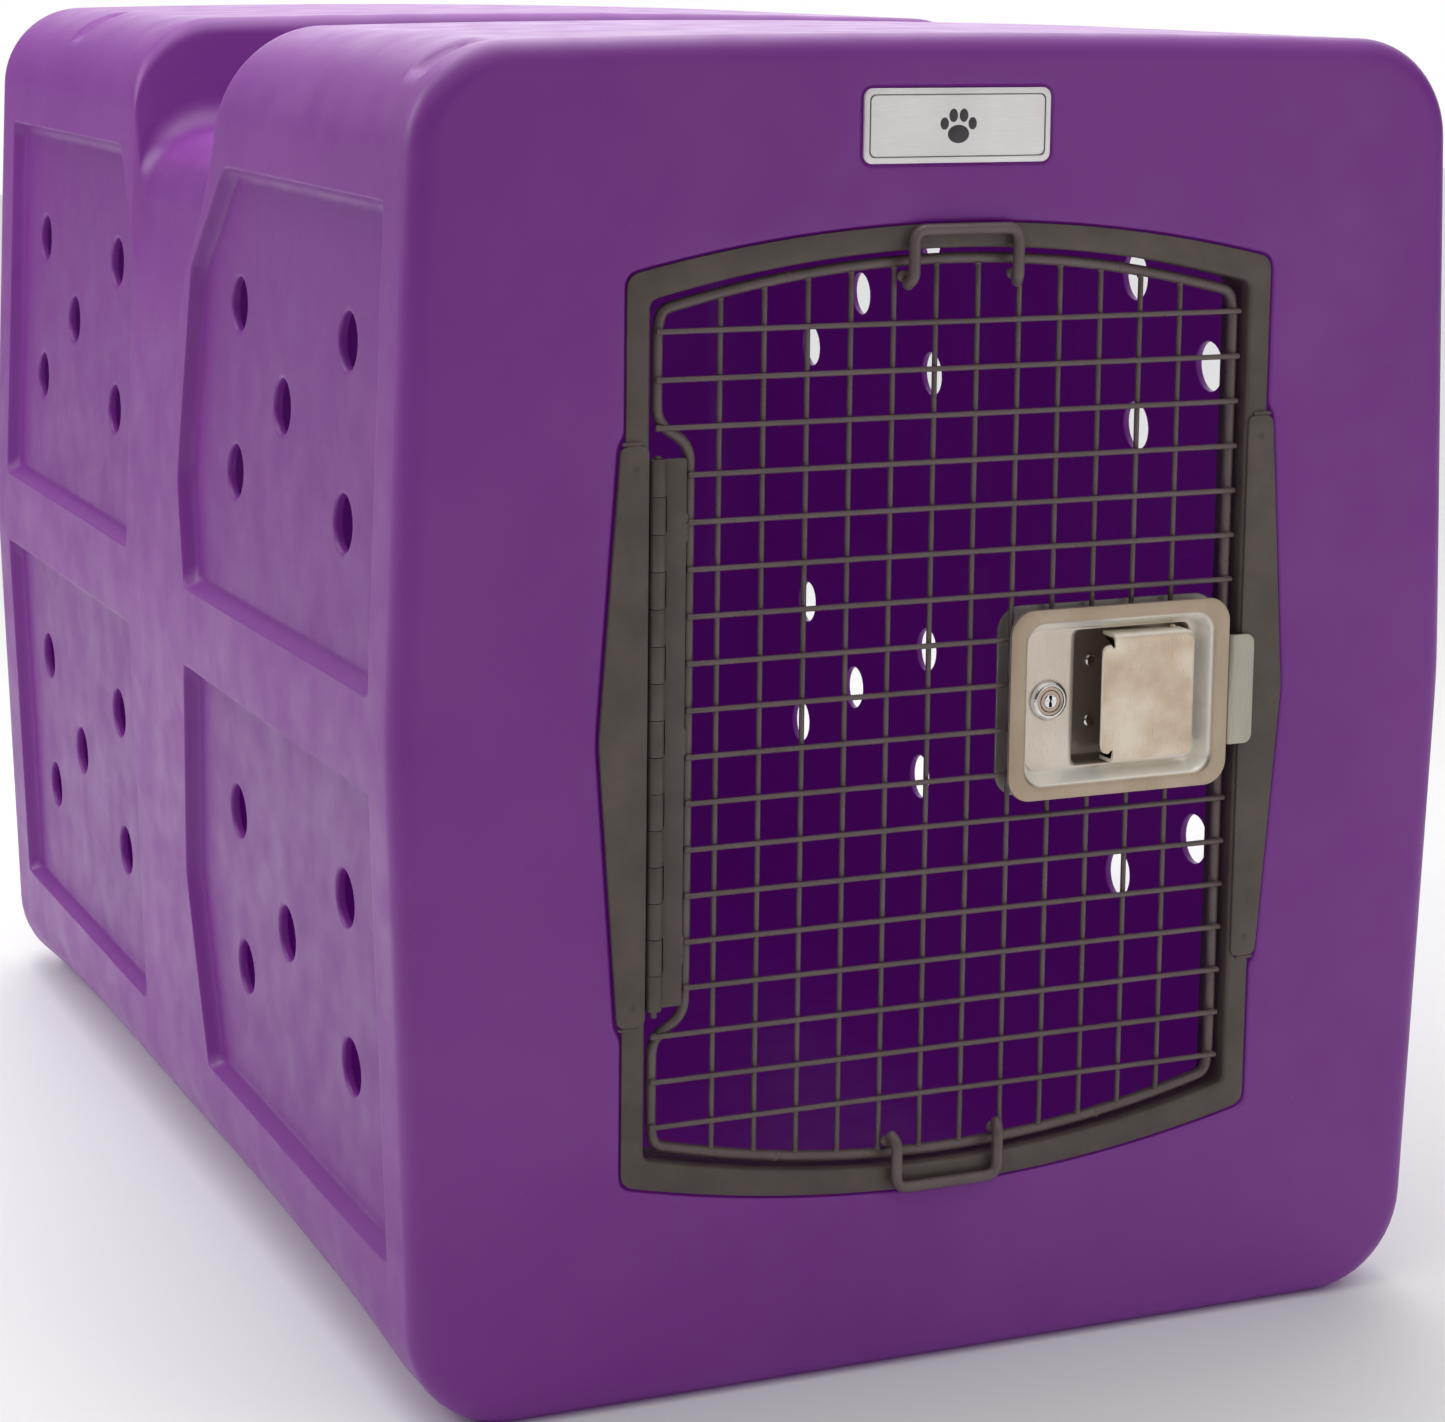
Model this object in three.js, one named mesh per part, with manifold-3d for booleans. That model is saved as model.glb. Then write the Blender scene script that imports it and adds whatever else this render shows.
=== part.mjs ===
// Pet transport carrier: a one-piece moulded shell with a framed, hinged wire door and a keyed latch.
// Millimetres. X is to the right as seen from the door, Y runs from the door to the back, Z is up.
import * as THREE from "three";
import { mergeVertices } from "three/addons/utils/BufferGeometryUtils.js";
import Module from "manifold-3d";

const wasm = await Module();
wasm.setup();

// ---------------------------------------------------------------- driving dimensions
const GAP = 0.3; // clearance between neighbouring solids

// Shell
const BODY_W = 648; // widest, at mid height
const BODY_H = 743; // top of the crowned roof
const BODY_L = 987;
const MID_Z = 373.5; // height at which the sides are widest
const SIDE_LEAN = 0.037; // each half of a side leans in by this share of its height
const ROOF_CROWN = 3.4;
const CORNER_R = 58;
const WAIST_R = 18; // the bottom corners are this much rounder between the ends
const FRONT_R = 14;
const BACK_R = 50;
const WALL = 5.5;
const FRONT_WALL = 7.5;

// Valley across the roof, between the two humps
const VALLEY_ROOF_Z = 668;
const VALLEY_R = 46;
const VALLEY_FRONT = [342, 364]; // top and foot of its front wall
const VALLEY_BACK = [546, 558]; // foot and top of its back wall
const VALLEY_SIDE = 5; // how far the sides are set in beside it
const VALLEY_FADE_Z = [520, 620];

// Recessed side panels and vent holes, one pattern per bay and side
const BAY_PITCH = 505;
const PANEL_DEPTH = 9;
const PANEL_DRAFT = 7;
const PANELS = [
  [[42, 398], [406, 394], [426, 458], [406, 592], [341, 656], [42, 656]],
  [[42, 86], [397, 88], [428, 207], [410, 343], [42, 345]],
  [[550, 396], [908, 396], [908, 656], [588, 656], [549, 594]],
  [[549, 88], [905, 88], [908, 343], [549, 345]],
];
const VENT_R = 16;
const VENT_SIDES = 12;
const UPPER_VENTS = [[330, 576], [120, 576], [238, 526], [330, 476], [120, 477]];
const LOWER_VENTS = [[330, 268], [120, 268], [238, 216], [330, 170], [120, 171]];

// Door frame; outlines are measured from the door's centre
const DOOR_Z = 372.4;
const FRAME_HALF_W = 195;
const FRAME_CORNER_Z = 246;
const FRAME_ARC_Z = 269.5;
const FRAME_CORNER_R = 9;
const STRIP_W = 13.5;
const FRAME_T = 2.4;
const FRAME_Y = 0.6; // front of the plain strip
const CHEEK_Y = -1.6; // front of the thicker side cheeks
const CHEEK_HALF_H = 157;
const CHEEK_END_W = 198.5;
const CHEEK_MID_W = 210;
const LIP_T = 2.4;
const LIP_BACK = 30;
const REBATE = 1.2; // clearance between the frame's edge and the shell

// Wire grille
const PITCH = 25.4;
const ROWS = 18;
const COLS = 12;
const WIRE_D = 3;
const ROW_Y = 3.7;
const COL_Y = ROW_Y + WIRE_D + GAP;
const RIM_D = 6;
const RIM_Y = ROW_Y + WIRE_D / 2 + GAP + RIM_D / 2;
const RIM_HALF_W = 175;
const RIM_CORNER_Z = 227;
const RIM_ARC_Z = 250;
const RIM_CORNER_R = 12;
const NOTCH_X = -156;
const NOTCH_HALF_H = 162;
const NOTCH_R = 8;

// Stop loops over and under the door
const LOOP_D = 6.4;
const LOOP_Y = -4.2;
const LOOP_HALF_W = 31.5;
const LOOP_BAR_Z = 266.5;
const LOOP_FOOT_Z = 238;
const LOOP_FOOT_Y = 1.8;
const LOOP_BEND_R = 6.5;

// Hinge
const HINGE_X = -176.6;
const HINGE_Y = 1.6;
const BARREL_D = 9;
const PIN_D = 4;
const HINGE_HALF_H = 149.5;
const KNUCKLES = 15;
const LEAF_T = 1.8;

// Paddle latch; heights are measured from the latch's centre
const LATCH_X = 103;
const LATCH_Z = DOOR_Z + 1;
const FLANGE_W = 140;
const FLANGE_H = 108;
const FLANGE_R = 14;
const FLANGE_FRONT = -4;
const SHEET = 1.8;
const DISH_W = 118;
const DISH_H = 91;
const DISH_R = 11;
const DISH_DRAFT = 6;
const DISH_FLOOR = 8;
const POCKET_X = [81, 153]; // deep pocket behind the paddle
const POCKET_HALF_H = 38.5;
const POCKET_FLOOR = 24;
const TAIL_SLOT = [118, 150, 8]; // from, to and half height of the slot in its floor
const PADDLE_X = [91.5, 151];
const PADDLE_HALF_H = 36.8;
const PADDLE_FRONT = -3.4;
const PADDLE_T = 2.2;
const PADDLE_SIDE_D = 15;
const PIVOT = [141.5, 6.5];
const PADDLE_PIN_D = 4;
const TAIL_END_Y = 39.5;
const LOCK_X = 63.5;
const LOCK_R = 10.6;
const LOCK_BODY_R = 8.6;
const PLUG_R = 6;
const BACKING_Y = 11.8;
const BOLT_X = [95, 179.2];
const BOLT_Y = [30.6, 42];
const BOLT_HALF_H = 10;
const GUIDE_X = [155.6, 170];
const RIVET_X = 98.6;
const RIVET_Z = 17.6;

// Stop tab, badge
const TAB_X = [173.4, 189.5];
const TAB_FRONT = -4.2;
const TAB_T = 2;
const TAB_HALF_H = 31.7;
const BADGE_W = 112;
const BADGE_H = 40;
const BADGE_R = 5;
const BADGE_X = -5;
const BADGE_Z = 694;
const BADGE_Y = [-0.7, 0.9];
const BADGE_SEAT = 1.2;

// ---------------------------------------------------------------- materials
function material(color, roughness, metalness) {
  return new THREE.MeshStandardMaterial({ color, roughness, metalness });
}
const PLASTIC = [0x6f3a82, 0.55, 0];
const COATED = [0x55493f, 0.5, 0.2];
const STAINLESS = [0xc0ab98, 0.35, 0.9];
const CHROME = [0xd8d8d8, 0.15, 1];
const SPRING_STEEL = [0x8a8a86, 0.4, 0.9];
const BADGE_METAL = [0xdcd2cc, 0.4, 0.7];

const carrier = new THREE.Group();
function add(name, geometry, finish) {
  const mesh = new THREE.Mesh(geometry, material(...finish));
  mesh.name = name;
  carrier.add(mesh);
  return mesh;
}

// ---------------------------------------------------------------- geometry helpers
function solid(geometry) {
  const g = geometry.clone();
  g.deleteAttribute("normal");
  g.deleteAttribute("uv");
  const merged = mergeVertices(g, 1e-4);
  return new wasm.Manifold(
    new wasm.Mesh({
      numProp: 3,
      vertProperties: merged.attributes.position.array,
      triVerts: new Uint32Array(merged.index.array),
    }),
  );
}

function geometryOf(body) {
  const m = body.getMesh();
  const g = new THREE.BufferGeometry();
  g.setAttribute("position", new THREE.BufferAttribute(new Float32Array(m.vertProperties), 3));
  g.setIndex(new THREE.BufferAttribute(new Uint32Array(m.triVerts), 1));
  return g.toNonIndexed();
}

// Closed skin over rings of equally many points; the first and last rings are capped flat.
function loft(rings) {
  const axis = middleOf(rings.at(-1)).sub(middleOf(rings[0]));
  const ordered = areaVector(rings[0]).dot(axis) > 0 ? rings : rings.map((ring) => [...ring].reverse());
  const n = ordered[0].length;
  const points = ordered.flat();
  const faces = [];
  for (let r = 0; r + 1 < ordered.length; r++)
    for (let i = 0; i < n; i++) {
      const a = r * n + i;
      const b = r * n + ((i + 1) % n);
      faces.push(a, b, b + n, a, b + n, a + n);
    }
  cap(points, 0, ordered[0], axis.clone().negate(), faces);
  cap(points, points.length - n, ordered.at(-1), axis, faces);
  return solid(indexed(points, faces));
}

function cap(points, start, ring, outward, faces) {
  for (const [a, b, c] of THREE.ShapeUtils.triangulateShape(flatten(ring), [])) {
    const ab = ring[b].clone().sub(ring[a]);
    const ac = ring[c].clone().sub(ring[a]);
    const out = ab.cross(ac).dot(outward) > 0;
    faces.push(start + a, start + (out ? b : c), start + (out ? c : b));
  }
}

function middleOf(ring) {
  const sum = new THREE.Vector3();
  ring.forEach((p) => sum.add(p));
  return sum.divideScalar(ring.length);
}

function areaVector(ring) {
  const sum = new THREE.Vector3();
  ring.forEach((p, i) => sum.add(p.clone().cross(ring[(i + 1) % ring.length])));
  return sum;
}

function indexed(points, faces) {
  const g = new THREE.BufferGeometry().setFromPoints(points);
  g.setIndex(faces);
  return g;
}

// A planar ring of 3-D points as 2-D points, dropping the axis that it faces most.
function flatten(ring) {
  const face = areaVector(ring);
  const [x, y, z] = [Math.abs(face.x), Math.abs(face.y), Math.abs(face.z)];
  if (x >= y && x >= z) return ring.map((p) => new THREE.Vector2(p.y, p.z));
  if (y >= z) return ring.map((p) => new THREE.Vector2(p.z, p.x));
  return ring.map((p) => new THREE.Vector2(p.x, p.y));
}

function turned(g) {
  const index = Array.from(g.index.array);
  for (let i = 0; i < index.length; i += 3) [index[i + 1], index[i + 2]] = [index[i + 2], index[i + 1]];
  return g.clone().setIndex(index);
}

// An outline in the X-Z plane, given as a THREE.Shape of (x, z), extruded from y0 back to y1.
function slab(shape, y0, y1, curveSegments = 4) {
  const g = new THREE.ExtrudeGeometry(shape, { depth: y1 - y0, bevelEnabled: false, curveSegments });
  g.rotateX(Math.PI / 2);
  g.translate(0, y1, 0);
  return g;
}

function box(x0, x1, y0, y1, z0, z1) {
  const g = new THREE.BoxGeometry(x1 - x0, y1 - y0, z1 - z0);
  return g.translate((x0 + x1) / 2, (y0 + y1) / 2, (z0 + z1) / 2);
}

function cylinder(radius, from, to, sides = 16) {
  const along = new THREE.Vector3().subVectors(to, from);
  const g = new THREE.CylinderGeometry(radius, radius, along.length(), sides);
  const up = new THREE.Vector3(0, 1, 0);
  const turn = new THREE.Quaternion().setFromUnitVectors(up, along.clone().normalize());
  g.applyQuaternion(turn);
  const middle = new THREE.Vector3().addVectors(from, to).multiplyScalar(0.5);
  return g.translate(middle.x, middle.y, middle.z);
}

// Corners of a rounded rectangle as points, counter-clockwise.
function roundedPoints(cx, cz, w, h, r, steps = 3) {
  const points = [];
  const corners = [[1, -1], [1, 1], [-1, 1], [-1, -1]];
  corners.forEach(([sx, sz], i) => {
    for (let k = 0; k <= steps; k++) {
      const t = (i - 1 + k / steps) * (Math.PI / 2);
      points.push(new THREE.Vector2(
        cx + sx * (w / 2 - r) + r * Math.cos(t),
        cz + sz * (h / 2 - r) + r * Math.sin(t),
      ));
    }
  });
  return points;
}

function roundedRect(cx, cz, w, h, r) {
  return new THREE.Shape(roundedPoints(cx, cz, w, h, r));
}

// The outline through the given [x, z] points with its corners rounded.
function smoothOutline(points, radius, steps = 3) {
  const out = [];
  points.forEach((p, i) => {
    const before = points.at(i - 1);
    const after = points[(i + 1) % points.length];
    const toBefore = new THREE.Vector2(before[0] - p[0], before[1] - p[1]);
    const toAfter = new THREE.Vector2(after[0] - p[0], after[1] - p[1]);
    const reach = Math.min(radius, toBefore.length() * 0.45, toAfter.length() * 0.45);
    const corner = new THREE.Vector2(p[0], p[1]);
    const start = toBefore.clone().setLength(reach).add(corner);
    const end = toAfter.clone().setLength(reach).add(corner);
    const straight = Math.abs(toBefore.angleTo(toAfter) - Math.PI) < 0.12;
    if (straight) out.push(corner);
    else
      for (let k = 0; k <= steps; k++) {
        const t = k / steps;
        const a = start.clone().lerp(corner, t);
        const b = corner.clone().lerp(end, t);
        out.push(a.lerp(b, t));
      }
  });
  return out;
}

// Points of a shallow arc from (-half, ends) over (0, middle) to (half, ends), left to right.
function arcRun(half, ends, middle, steps) {
  const rise = middle - ends;
  const run = [];
  for (let k = 0; k <= steps; k++) {
    const x = -half + (2 * half * k) / steps;
    run.push([x, ends + rise * (1 - (x / half) ** 2)]);
  }
  return run;
}

// Door-shaped outline: straight or cheeked sides, arched top and bottom, about the door's centre.
function doorOutline(halfW, cornerZ, arcZ, cornerR, side = []) {
  const top = arcRun(halfW, cornerZ, arcZ, 8).reverse();
  const bottom = arcRun(halfW, -cornerZ, -arcZ, 8);
  const right = side;
  const left = side.map(([x, z]) => [-x, -z]);
  return smoothOutline([...bottom, ...right, ...top, ...left], cornerR);
}

function shapeAt(points, cz, hole) {
  const s = new THREE.Shape(points.map((p) => new THREE.Vector2(p.x, p.y + cz)));
  if (hole) s.holes.push(new THREE.Path(hole.map((p) => new THREE.Vector2(p.x, p.y + cz))));
  return s;
}

// A round bar along a 3-D path of points with rounded bends.
function bar(points, diameter, bend, closed = false, sides = 8) {
  const list = points.map((p) => new THREE.Vector3(...p));
  const n = list.length;
  const ends = list.map((p, i) => {
    const before = closed || i > 0 ? list.at(i - 1) : null;
    const after = closed || i < n - 1 ? list[(i + 1) % n] : null;
    if (!before || !after) return { a: p, b: p, p };
    const reach = Math.min(bend, p.distanceTo(before) * 0.45, p.distanceTo(after) * 0.45);
    const a = before.clone().sub(p).setLength(reach).add(p);
    const b = after.clone().sub(p).setLength(reach).add(p);
    return { a, b, p };
  });
  let samples = [];
  ends.forEach(({ a, b, p }) => {
    if (a === b) samples.push(a);
    else for (let k = 0; k <= 3; k++) {
      const t = k / 3;
      samples.push(a.clone().lerp(p, t).lerp(p.clone().lerp(b, t), t));
    }
  });
  return sweep(samples, diameter / 2, closed, sides);
}

// A closed tube skin along sample points, framed by the plane that the path lies nearest to.
function sweep(samples, radius, closed, sides) {
  const n = samples.length;
  const rings = samples.map((p, i) => {
    const before = closed ? samples.at(i - 1) : samples[Math.max(0, i - 1)];
    const after = closed ? samples[(i + 1) % n] : samples[Math.min(n - 1, i + 1)];
    const along = after.clone().sub(before).normalize();
    return { p, along };
  });
  let side = new THREE.Vector3(0, 1, 0);
  if (Math.abs(rings[0].along.dot(side)) > 0.9) side = new THREE.Vector3(0, 0, 1);
  const positions = [];
  rings.forEach(({ p, along }, i) => {
    const prior = i ? rings[i - 1].along : along;
    side.applyQuaternion(new THREE.Quaternion().setFromUnitVectors(prior, along));
    side.addScaledVector(along, -side.dot(along)).normalize();
    const up = along.clone().cross(side);
    for (let k = 0; k < sides; k++) {
      const t = (2 * Math.PI * (k + 0.5)) / sides;
      const r = radius / Math.cos(Math.PI / sides) ** 0.5;
      const v = p.clone().addScaledVector(side, r * Math.cos(t)).addScaledVector(up, r * Math.sin(t));
      positions.push(v.x, v.y, v.z);
    }
  });
  const faces = [];
  const spans = closed ? n : n - 1;
  for (let i = 0; i < spans; i++)
    for (let k = 0; k < sides; k++) {
      const a = i * sides + k;
      const b = i * sides + ((k + 1) % sides);
      const c = ((i + 1) % n) * sides + k;
      const d = ((i + 1) % n) * sides + ((k + 1) % sides);
      faces.push(a, b, d, a, d, c);
    }
  if (!closed)
    for (let k = 1; k + 1 < sides; k++) {
      const e = (n - 1) * sides;
      faces.push(0, k + 1, k, e, e + k, e + k + 1);
    }
  const g = new THREE.BufferGeometry();
  g.setAttribute("position", new THREE.Float32BufferAttribute(positions, 3));
  g.setIndex(faces);
  const body = solid(g);
  return geometryOf(body.volume() < 0 ? solid(turned(g)) : body);
}

// ---------------------------------------------------------------- shell
function sideX(z) {
  return BODY_W / 2 - SIDE_LEAN * Math.abs(z - MID_Z);
}

function ease(t) {
  const u = Math.min(1, Math.max(0, t));
  return u * u * (3 - 2 * u);
}

// Right half of a cross-section, from the middle of the floor round to the middle of the roof.
function halfSection(roofZ, topR, bottomR, setIn, inset) {
  const lean = Math.atan(SIDE_LEAN);
  const cornerX = (z, r) => sideX(z) - setIn(z) - r / Math.cos(lean);
  const points = [[0, inset], [cornerX(bottomR, bottomR) / 2, inset]];
  for (let k = 0; k <= 4; k++) {
    const t = -Math.PI / 2 + (Math.PI / 2 - lean) * (k / 4);
    const r = bottomR - inset;
    points.push([cornerX(bottomR, bottomR) + r * Math.cos(t), bottomR + r * Math.sin(t)]);
  }
  for (const z of [230, MID_Z, 520, 580]) points.push([sideX(z) - setIn(z) - inset, z]);
  const cz = roofZ - topR;
  for (let k = 0; k <= 5; k++) {
    const t = lean + (Math.PI / 2 - lean) * (k / 5);
    const r = topR - inset;
    points.push([cornerX(cz, topR) + r * Math.cos(t), cz + r * Math.sin(t)]);
  }
  points.push([cornerX(cz, topR) / 2, roofZ + 0.75 * ROOF_CROWN - inset]);
  points.push([0, roofZ + ROOF_CROWN - inset]);
  return points;
}

// Whole cross-section at y; valley goes from 0 on a hump to 1 in the roof valley.
function section(y, inset, valley) {
  const middle = (y - BODY_L / 2) / (BODY_L / 2 - BACK_R);
  const bottomR = CORNER_R + WAIST_R * Math.max(0, 1 - middle ** 4);
  const hump = halfSection(BODY_H - ROOF_CROWN, CORNER_R, bottomR, () => 0, inset);
  const fade = (z) => VALLEY_SIDE * ease((z - VALLEY_FADE_Z[0]) / (VALLEY_FADE_Z[1] - VALLEY_FADE_Z[0]));
  const low = halfSection(VALLEY_ROOF_Z, VALLEY_R, bottomR, fade, inset);
  const right = hump.map(([x, z], i) => [x + (low[i][0] - x) * valley, z + (low[i][1] - z) * valley]);
  const left = right.slice(1, -1).reverse().map(([x, z]) => [-x, z]);
  return [...right, ...left].map(([x, z]) => new THREE.Vector3(x, y, z));
}

// Body skin set in by wall: 0 gives the outside, WALL the cabin inside.
function bodySolid(wall, frontY) {
  const stations = [];
  for (const t of [0, 0.5, 1]) {
    const angle = (t * Math.PI) / 2;
    const r = FRONT_R - wall;
    const y = frontY + (FRONT_R - frontY) * (1 - Math.cos(angle));
    stations.push([y, wall + r * (1 - Math.sin(angle)), 0]);
  }
  const [frontTop, frontFoot] = VALLEY_FRONT;
  const [backFoot, backTop] = VALLEY_BACK;
  stations.push([100, wall, 0], [220, wall, 0], [frontTop - wall, wall, 0], [frontFoot - wall, wall, 1]);
  stations.push([455, wall, 1], [backFoot + wall, wall, 1], [backTop + wall, wall, 0]);
  stations.push([690, wall, 0], [820, wall, 0]);
  for (const t of [0, 0.25, 0.5, 0.75, 1]) {
    const angle = (t * Math.PI) / 2;
    const r = BACK_R - wall;
    stations.push([BODY_L - BACK_R + r * Math.sin(angle), wall + r * (1 - Math.cos(angle)), 0]);
  }
  return loft(stations.map(([y, inset, valley]) => section(y, inset, valley)));
}

// An outline moved in (or out, when by is negative) by a distance, corner by corner.
function offsetOutline(points, by) {
  const area = points.reduce((sum, [x, z], i) => {
    const [nx, nz] = points[(i + 1) % points.length];
    return sum + x * nz - nx * z;
  }, 0);
  const turn = Math.sign(area);
  return points.map((p, i) => {
    const before = points.at(i - 1);
    const after = points[(i + 1) % points.length];
    const d1 = new THREE.Vector2(p[0] - before[0], p[1] - before[1]).normalize();
    const d2 = new THREE.Vector2(after[0] - p[0], after[1] - p[1]).normalize();
    const n1 = new THREE.Vector2(-d1.y, d1.x).multiplyScalar(turn);
    const n2 = new THREE.Vector2(-d2.y, d2.x).multiplyScalar(turn);
    const bisector = n1.clone().add(n2).normalize();
    const reach = by / bisector.dot(n1);
    return [p[0] + bisector.x * reach, p[1] + bisector.y * reach];
  });
}

// Wedge that sinks a side panel: its floor is deep under the skin, its mouth is the outline.
function panelCutter(outline, side, deep, spread) {
  const mouth = offsetOutline(outline, -spread);
  const floor = offsetOutline(outline, PANEL_DRAFT - spread);
  const start = deep - PANEL_DEPTH;
  const at = (y, z, depth) => new THREE.Vector3(side * (sideX(z) - depth), y, z);
  const ring = (points, depth) => points.map(([y, z]) => at(y, z, depth));
  return loft([ring(mouth, -12), ring(mouth, start), ring(floor, deep)]);
}

function shellBody() {
  let skin = bodySolid(0, 0);
  let cabin = bodySolid(WALL, FRONT_WALL);
  for (const side of [-1, 1])
    for (const outline of PANELS) {
      skin = skin.subtract(panelCutter(outline, side, PANEL_DEPTH, 0));
      cabin = cabin.subtract(panelCutter(outline, side, PANEL_DEPTH + WALL, WALL * 0.8));
    }
  let body = skin.subtract(cabin);
  for (const side of [-1, 1])
    for (const bay of [0, BAY_PITCH])
      for (const [y, z] of [...UPPER_VENTS, ...LOWER_VENTS]) {
        const from = new THREE.Vector3(side * (BODY_W / 2 - 60), y + bay, z);
        const to = new THREE.Vector3(side * (BODY_W / 2 + 10), y + bay, z);
        body = body.subtract(solid(cylinder(VENT_R, from, to, VENT_SIDES)));
      }
  const rebate = shapeAt(frameOutline(REBATE), DOOR_Z);
  body = body.subtract(solid(slab(rebate, -5, FRAME_Y + FRAME_T + GAP)));
  const opening = shapeAt(innerOutline(LIP_T + REBATE), DOOR_Z);
  body = body.subtract(solid(slab(opening, -5, FRONT_WALL + 10)));
  const badgeSeat = roundedRect(BADGE_X, BADGE_Z, BADGE_W + 3, BADGE_H + 3, BADGE_R + 1.5);
  return body.subtract(solid(slab(badgeSeat, -5, BADGE_SEAT)));
}

// ---------------------------------------------------------------- door frame
function frameOutline(grow) {
  const halfH = CHEEK_HALF_H + grow;
  const halfW = FRAME_HALF_W + grow;
  const cheek = [
    [halfW, -halfH], [CHEEK_END_W + grow, -halfH], [CHEEK_MID_W + grow, 0],
    [CHEEK_END_W + grow, halfH], [halfW, halfH],
  ];
  return doorOutline(halfW, FRAME_CORNER_Z + grow, FRAME_ARC_Z + grow, FRAME_CORNER_R, cheek);
}

function innerOutline(grow) {
  const by = grow - STRIP_W;
  return doorOutline(FRAME_HALF_W + by, FRAME_CORNER_Z + by, FRAME_ARC_Z + by, FRAME_CORNER_R / 2);
}

function doorFrame() {
  const outer = doorOutline(FRAME_HALF_W, FRAME_CORNER_Z, FRAME_ARC_Z, FRAME_CORNER_R);
  const strip = solid(slab(shapeAt(outer, DOOR_Z, innerOutline(0)), FRAME_Y, FRAME_Y + FRAME_T));
  const lip = solid(slab(shapeAt(innerOutline(LIP_T), DOOR_Z, innerOutline(0)), FRAME_Y + 1, LIP_BACK));
  return strip.add(lip);
}

function cheekPlate(side) {
  const inner = FRAME_HALF_W - STRIP_W + 1;
  const points = [
    [inner, -CHEEK_HALF_H], [CHEEK_END_W, -CHEEK_HALF_H], [CHEEK_MID_W, 0],
    [CHEEK_END_W, CHEEK_HALF_H], [inner, CHEEK_HALF_H],
  ];
  const shape = shapeAt(smoothOutline(points.map(([x, z]) => [side * x, z]), 5), DOOR_Z);
  return slab(shape, CHEEK_Y, FRAME_Y - GAP);
}

// ---------------------------------------------------------------- wire door
function rim() {
  const top = arcRun(RIM_HALF_W - 2, RIM_CORNER_Z, RIM_ARC_Z, 8).reverse();
  const bottom = arcRun(RIM_HALF_W - 2, -RIM_CORNER_Z, -RIM_ARC_Z, 8);
  const right = [[RIM_HALF_W, -RIM_CORNER_Z + RIM_CORNER_R], [RIM_HALF_W, RIM_CORNER_Z - RIM_CORNER_R]];
  const left = [[-RIM_HALF_W, RIM_CORNER_Z - RIM_CORNER_R], [-RIM_HALF_W, NOTCH_HALF_H + 5]];
  left.push([NOTCH_X, NOTCH_HALF_H - 6], [NOTCH_X, 6 - NOTCH_HALF_H], [-RIM_HALF_W, -NOTCH_HALF_H - 5]);
  left.push([-RIM_HALF_W, RIM_CORNER_R - RIM_CORNER_Z]);
  const outline = smoothOutline([...bottom, ...right, ...top, ...left], NOTCH_R);
  const samples = outline.map((p) => new THREE.Vector3(p.x, RIM_Y, p.y + DOOR_Z));
  return sweep(samples, RIM_D / 2, true, 8);
}

// Height of the rim's inner edge over the door's centre at x.
function rimInnerZ(x) {
  const rise = (RIM_ARC_Z - RIM_CORNER_Z) * (1 - (x / (RIM_HALF_W - 2)) ** 2);
  return RIM_CORNER_Z + rise - RIM_D / 2 - 2 * GAP;
}

function addWires() {
  const cutX = LATCH_X - DISH_W / 2 - SHEET - 1;
  const cutLow = LATCH_Z - DISH_H / 2 - SHEET - 1;
  const cutHigh = LATCH_Z + DISH_H / 2 + SHEET + 1;
  for (let row = 0; row < ROWS; row++) {
    const z = DOOR_Z + ((ROWS - 1) / 2 - row) * PITCH;
    const beside = Math.abs(z - DOOR_Z) < NOTCH_HALF_H;
    const left = beside ? NOTCH_X - 2.5 : -RIM_HALF_W - 2.5;
    const right = z > cutLow && z < cutHigh ? cutX : RIM_HALF_W + 2.6;
    addWire(`wire_row_${pad(row + 1)}`, [left, ROW_Y, z], [right, ROW_Y, z]);
  }
  for (let col = 0; col < COLS; col++) {
    const x = (col - (COLS - 1) / 2) * PITCH;
    const reach = rimInnerZ(x);
    const name = `wire_col_${pad(col + 1)}`;
    if (x < cutX) addWire(name, [x, COL_Y, DOOR_Z - reach], [x, COL_Y, DOOR_Z + reach]);
    else {
      addWire(`${name}_low`, [x, COL_Y, DOOR_Z - reach], [x, COL_Y, cutLow]);
      addWire(`${name}_high`, [x, COL_Y, cutHigh], [x, COL_Y, DOOR_Z + reach]);
    }
  }
}

function addWire(name, from, to) {
  add(name, cylinder(WIRE_D / 2, new THREE.Vector3(...from), new THREE.Vector3(...to), 8), COATED);
}

function pad(number) {
  return String(number).padStart(2, "0");
}

function stopLoop(up) {
  const z = (height) => DOOR_Z + up * height;
  const half = [
    [LOOP_HALF_W + 2, LOOP_FOOT_Y, z(LOOP_FOOT_Z - 1)],
    [LOOP_HALF_W, LOOP_Y, z(LOOP_FOOT_Z + 2)],
    [LOOP_HALF_W, LOOP_Y, z(LOOP_BAR_Z)],
  ];
  const mirrored = half.map(([x, y, height]) => [-x, y, height]).reverse();
  return bar([...half, ...mirrored], LOOP_D, LOOP_BEND_R);
}

// ---------------------------------------------------------------- hinge
function knuckle(index) {
  const pitch = (2 * HINGE_HALF_H) / KNUCKLES;
  const z0 = DOOR_Z - HINGE_HALF_H + index * pitch + GAP / 2;
  const z1 = z0 + pitch - GAP;
  const at = (z) => new THREE.Vector3(HINGE_X, HINGE_Y, z);
  return { barrel: solid(cylinder(BARREL_D / 2, at(z0), at(z1))), z0, z1 };
}

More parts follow.
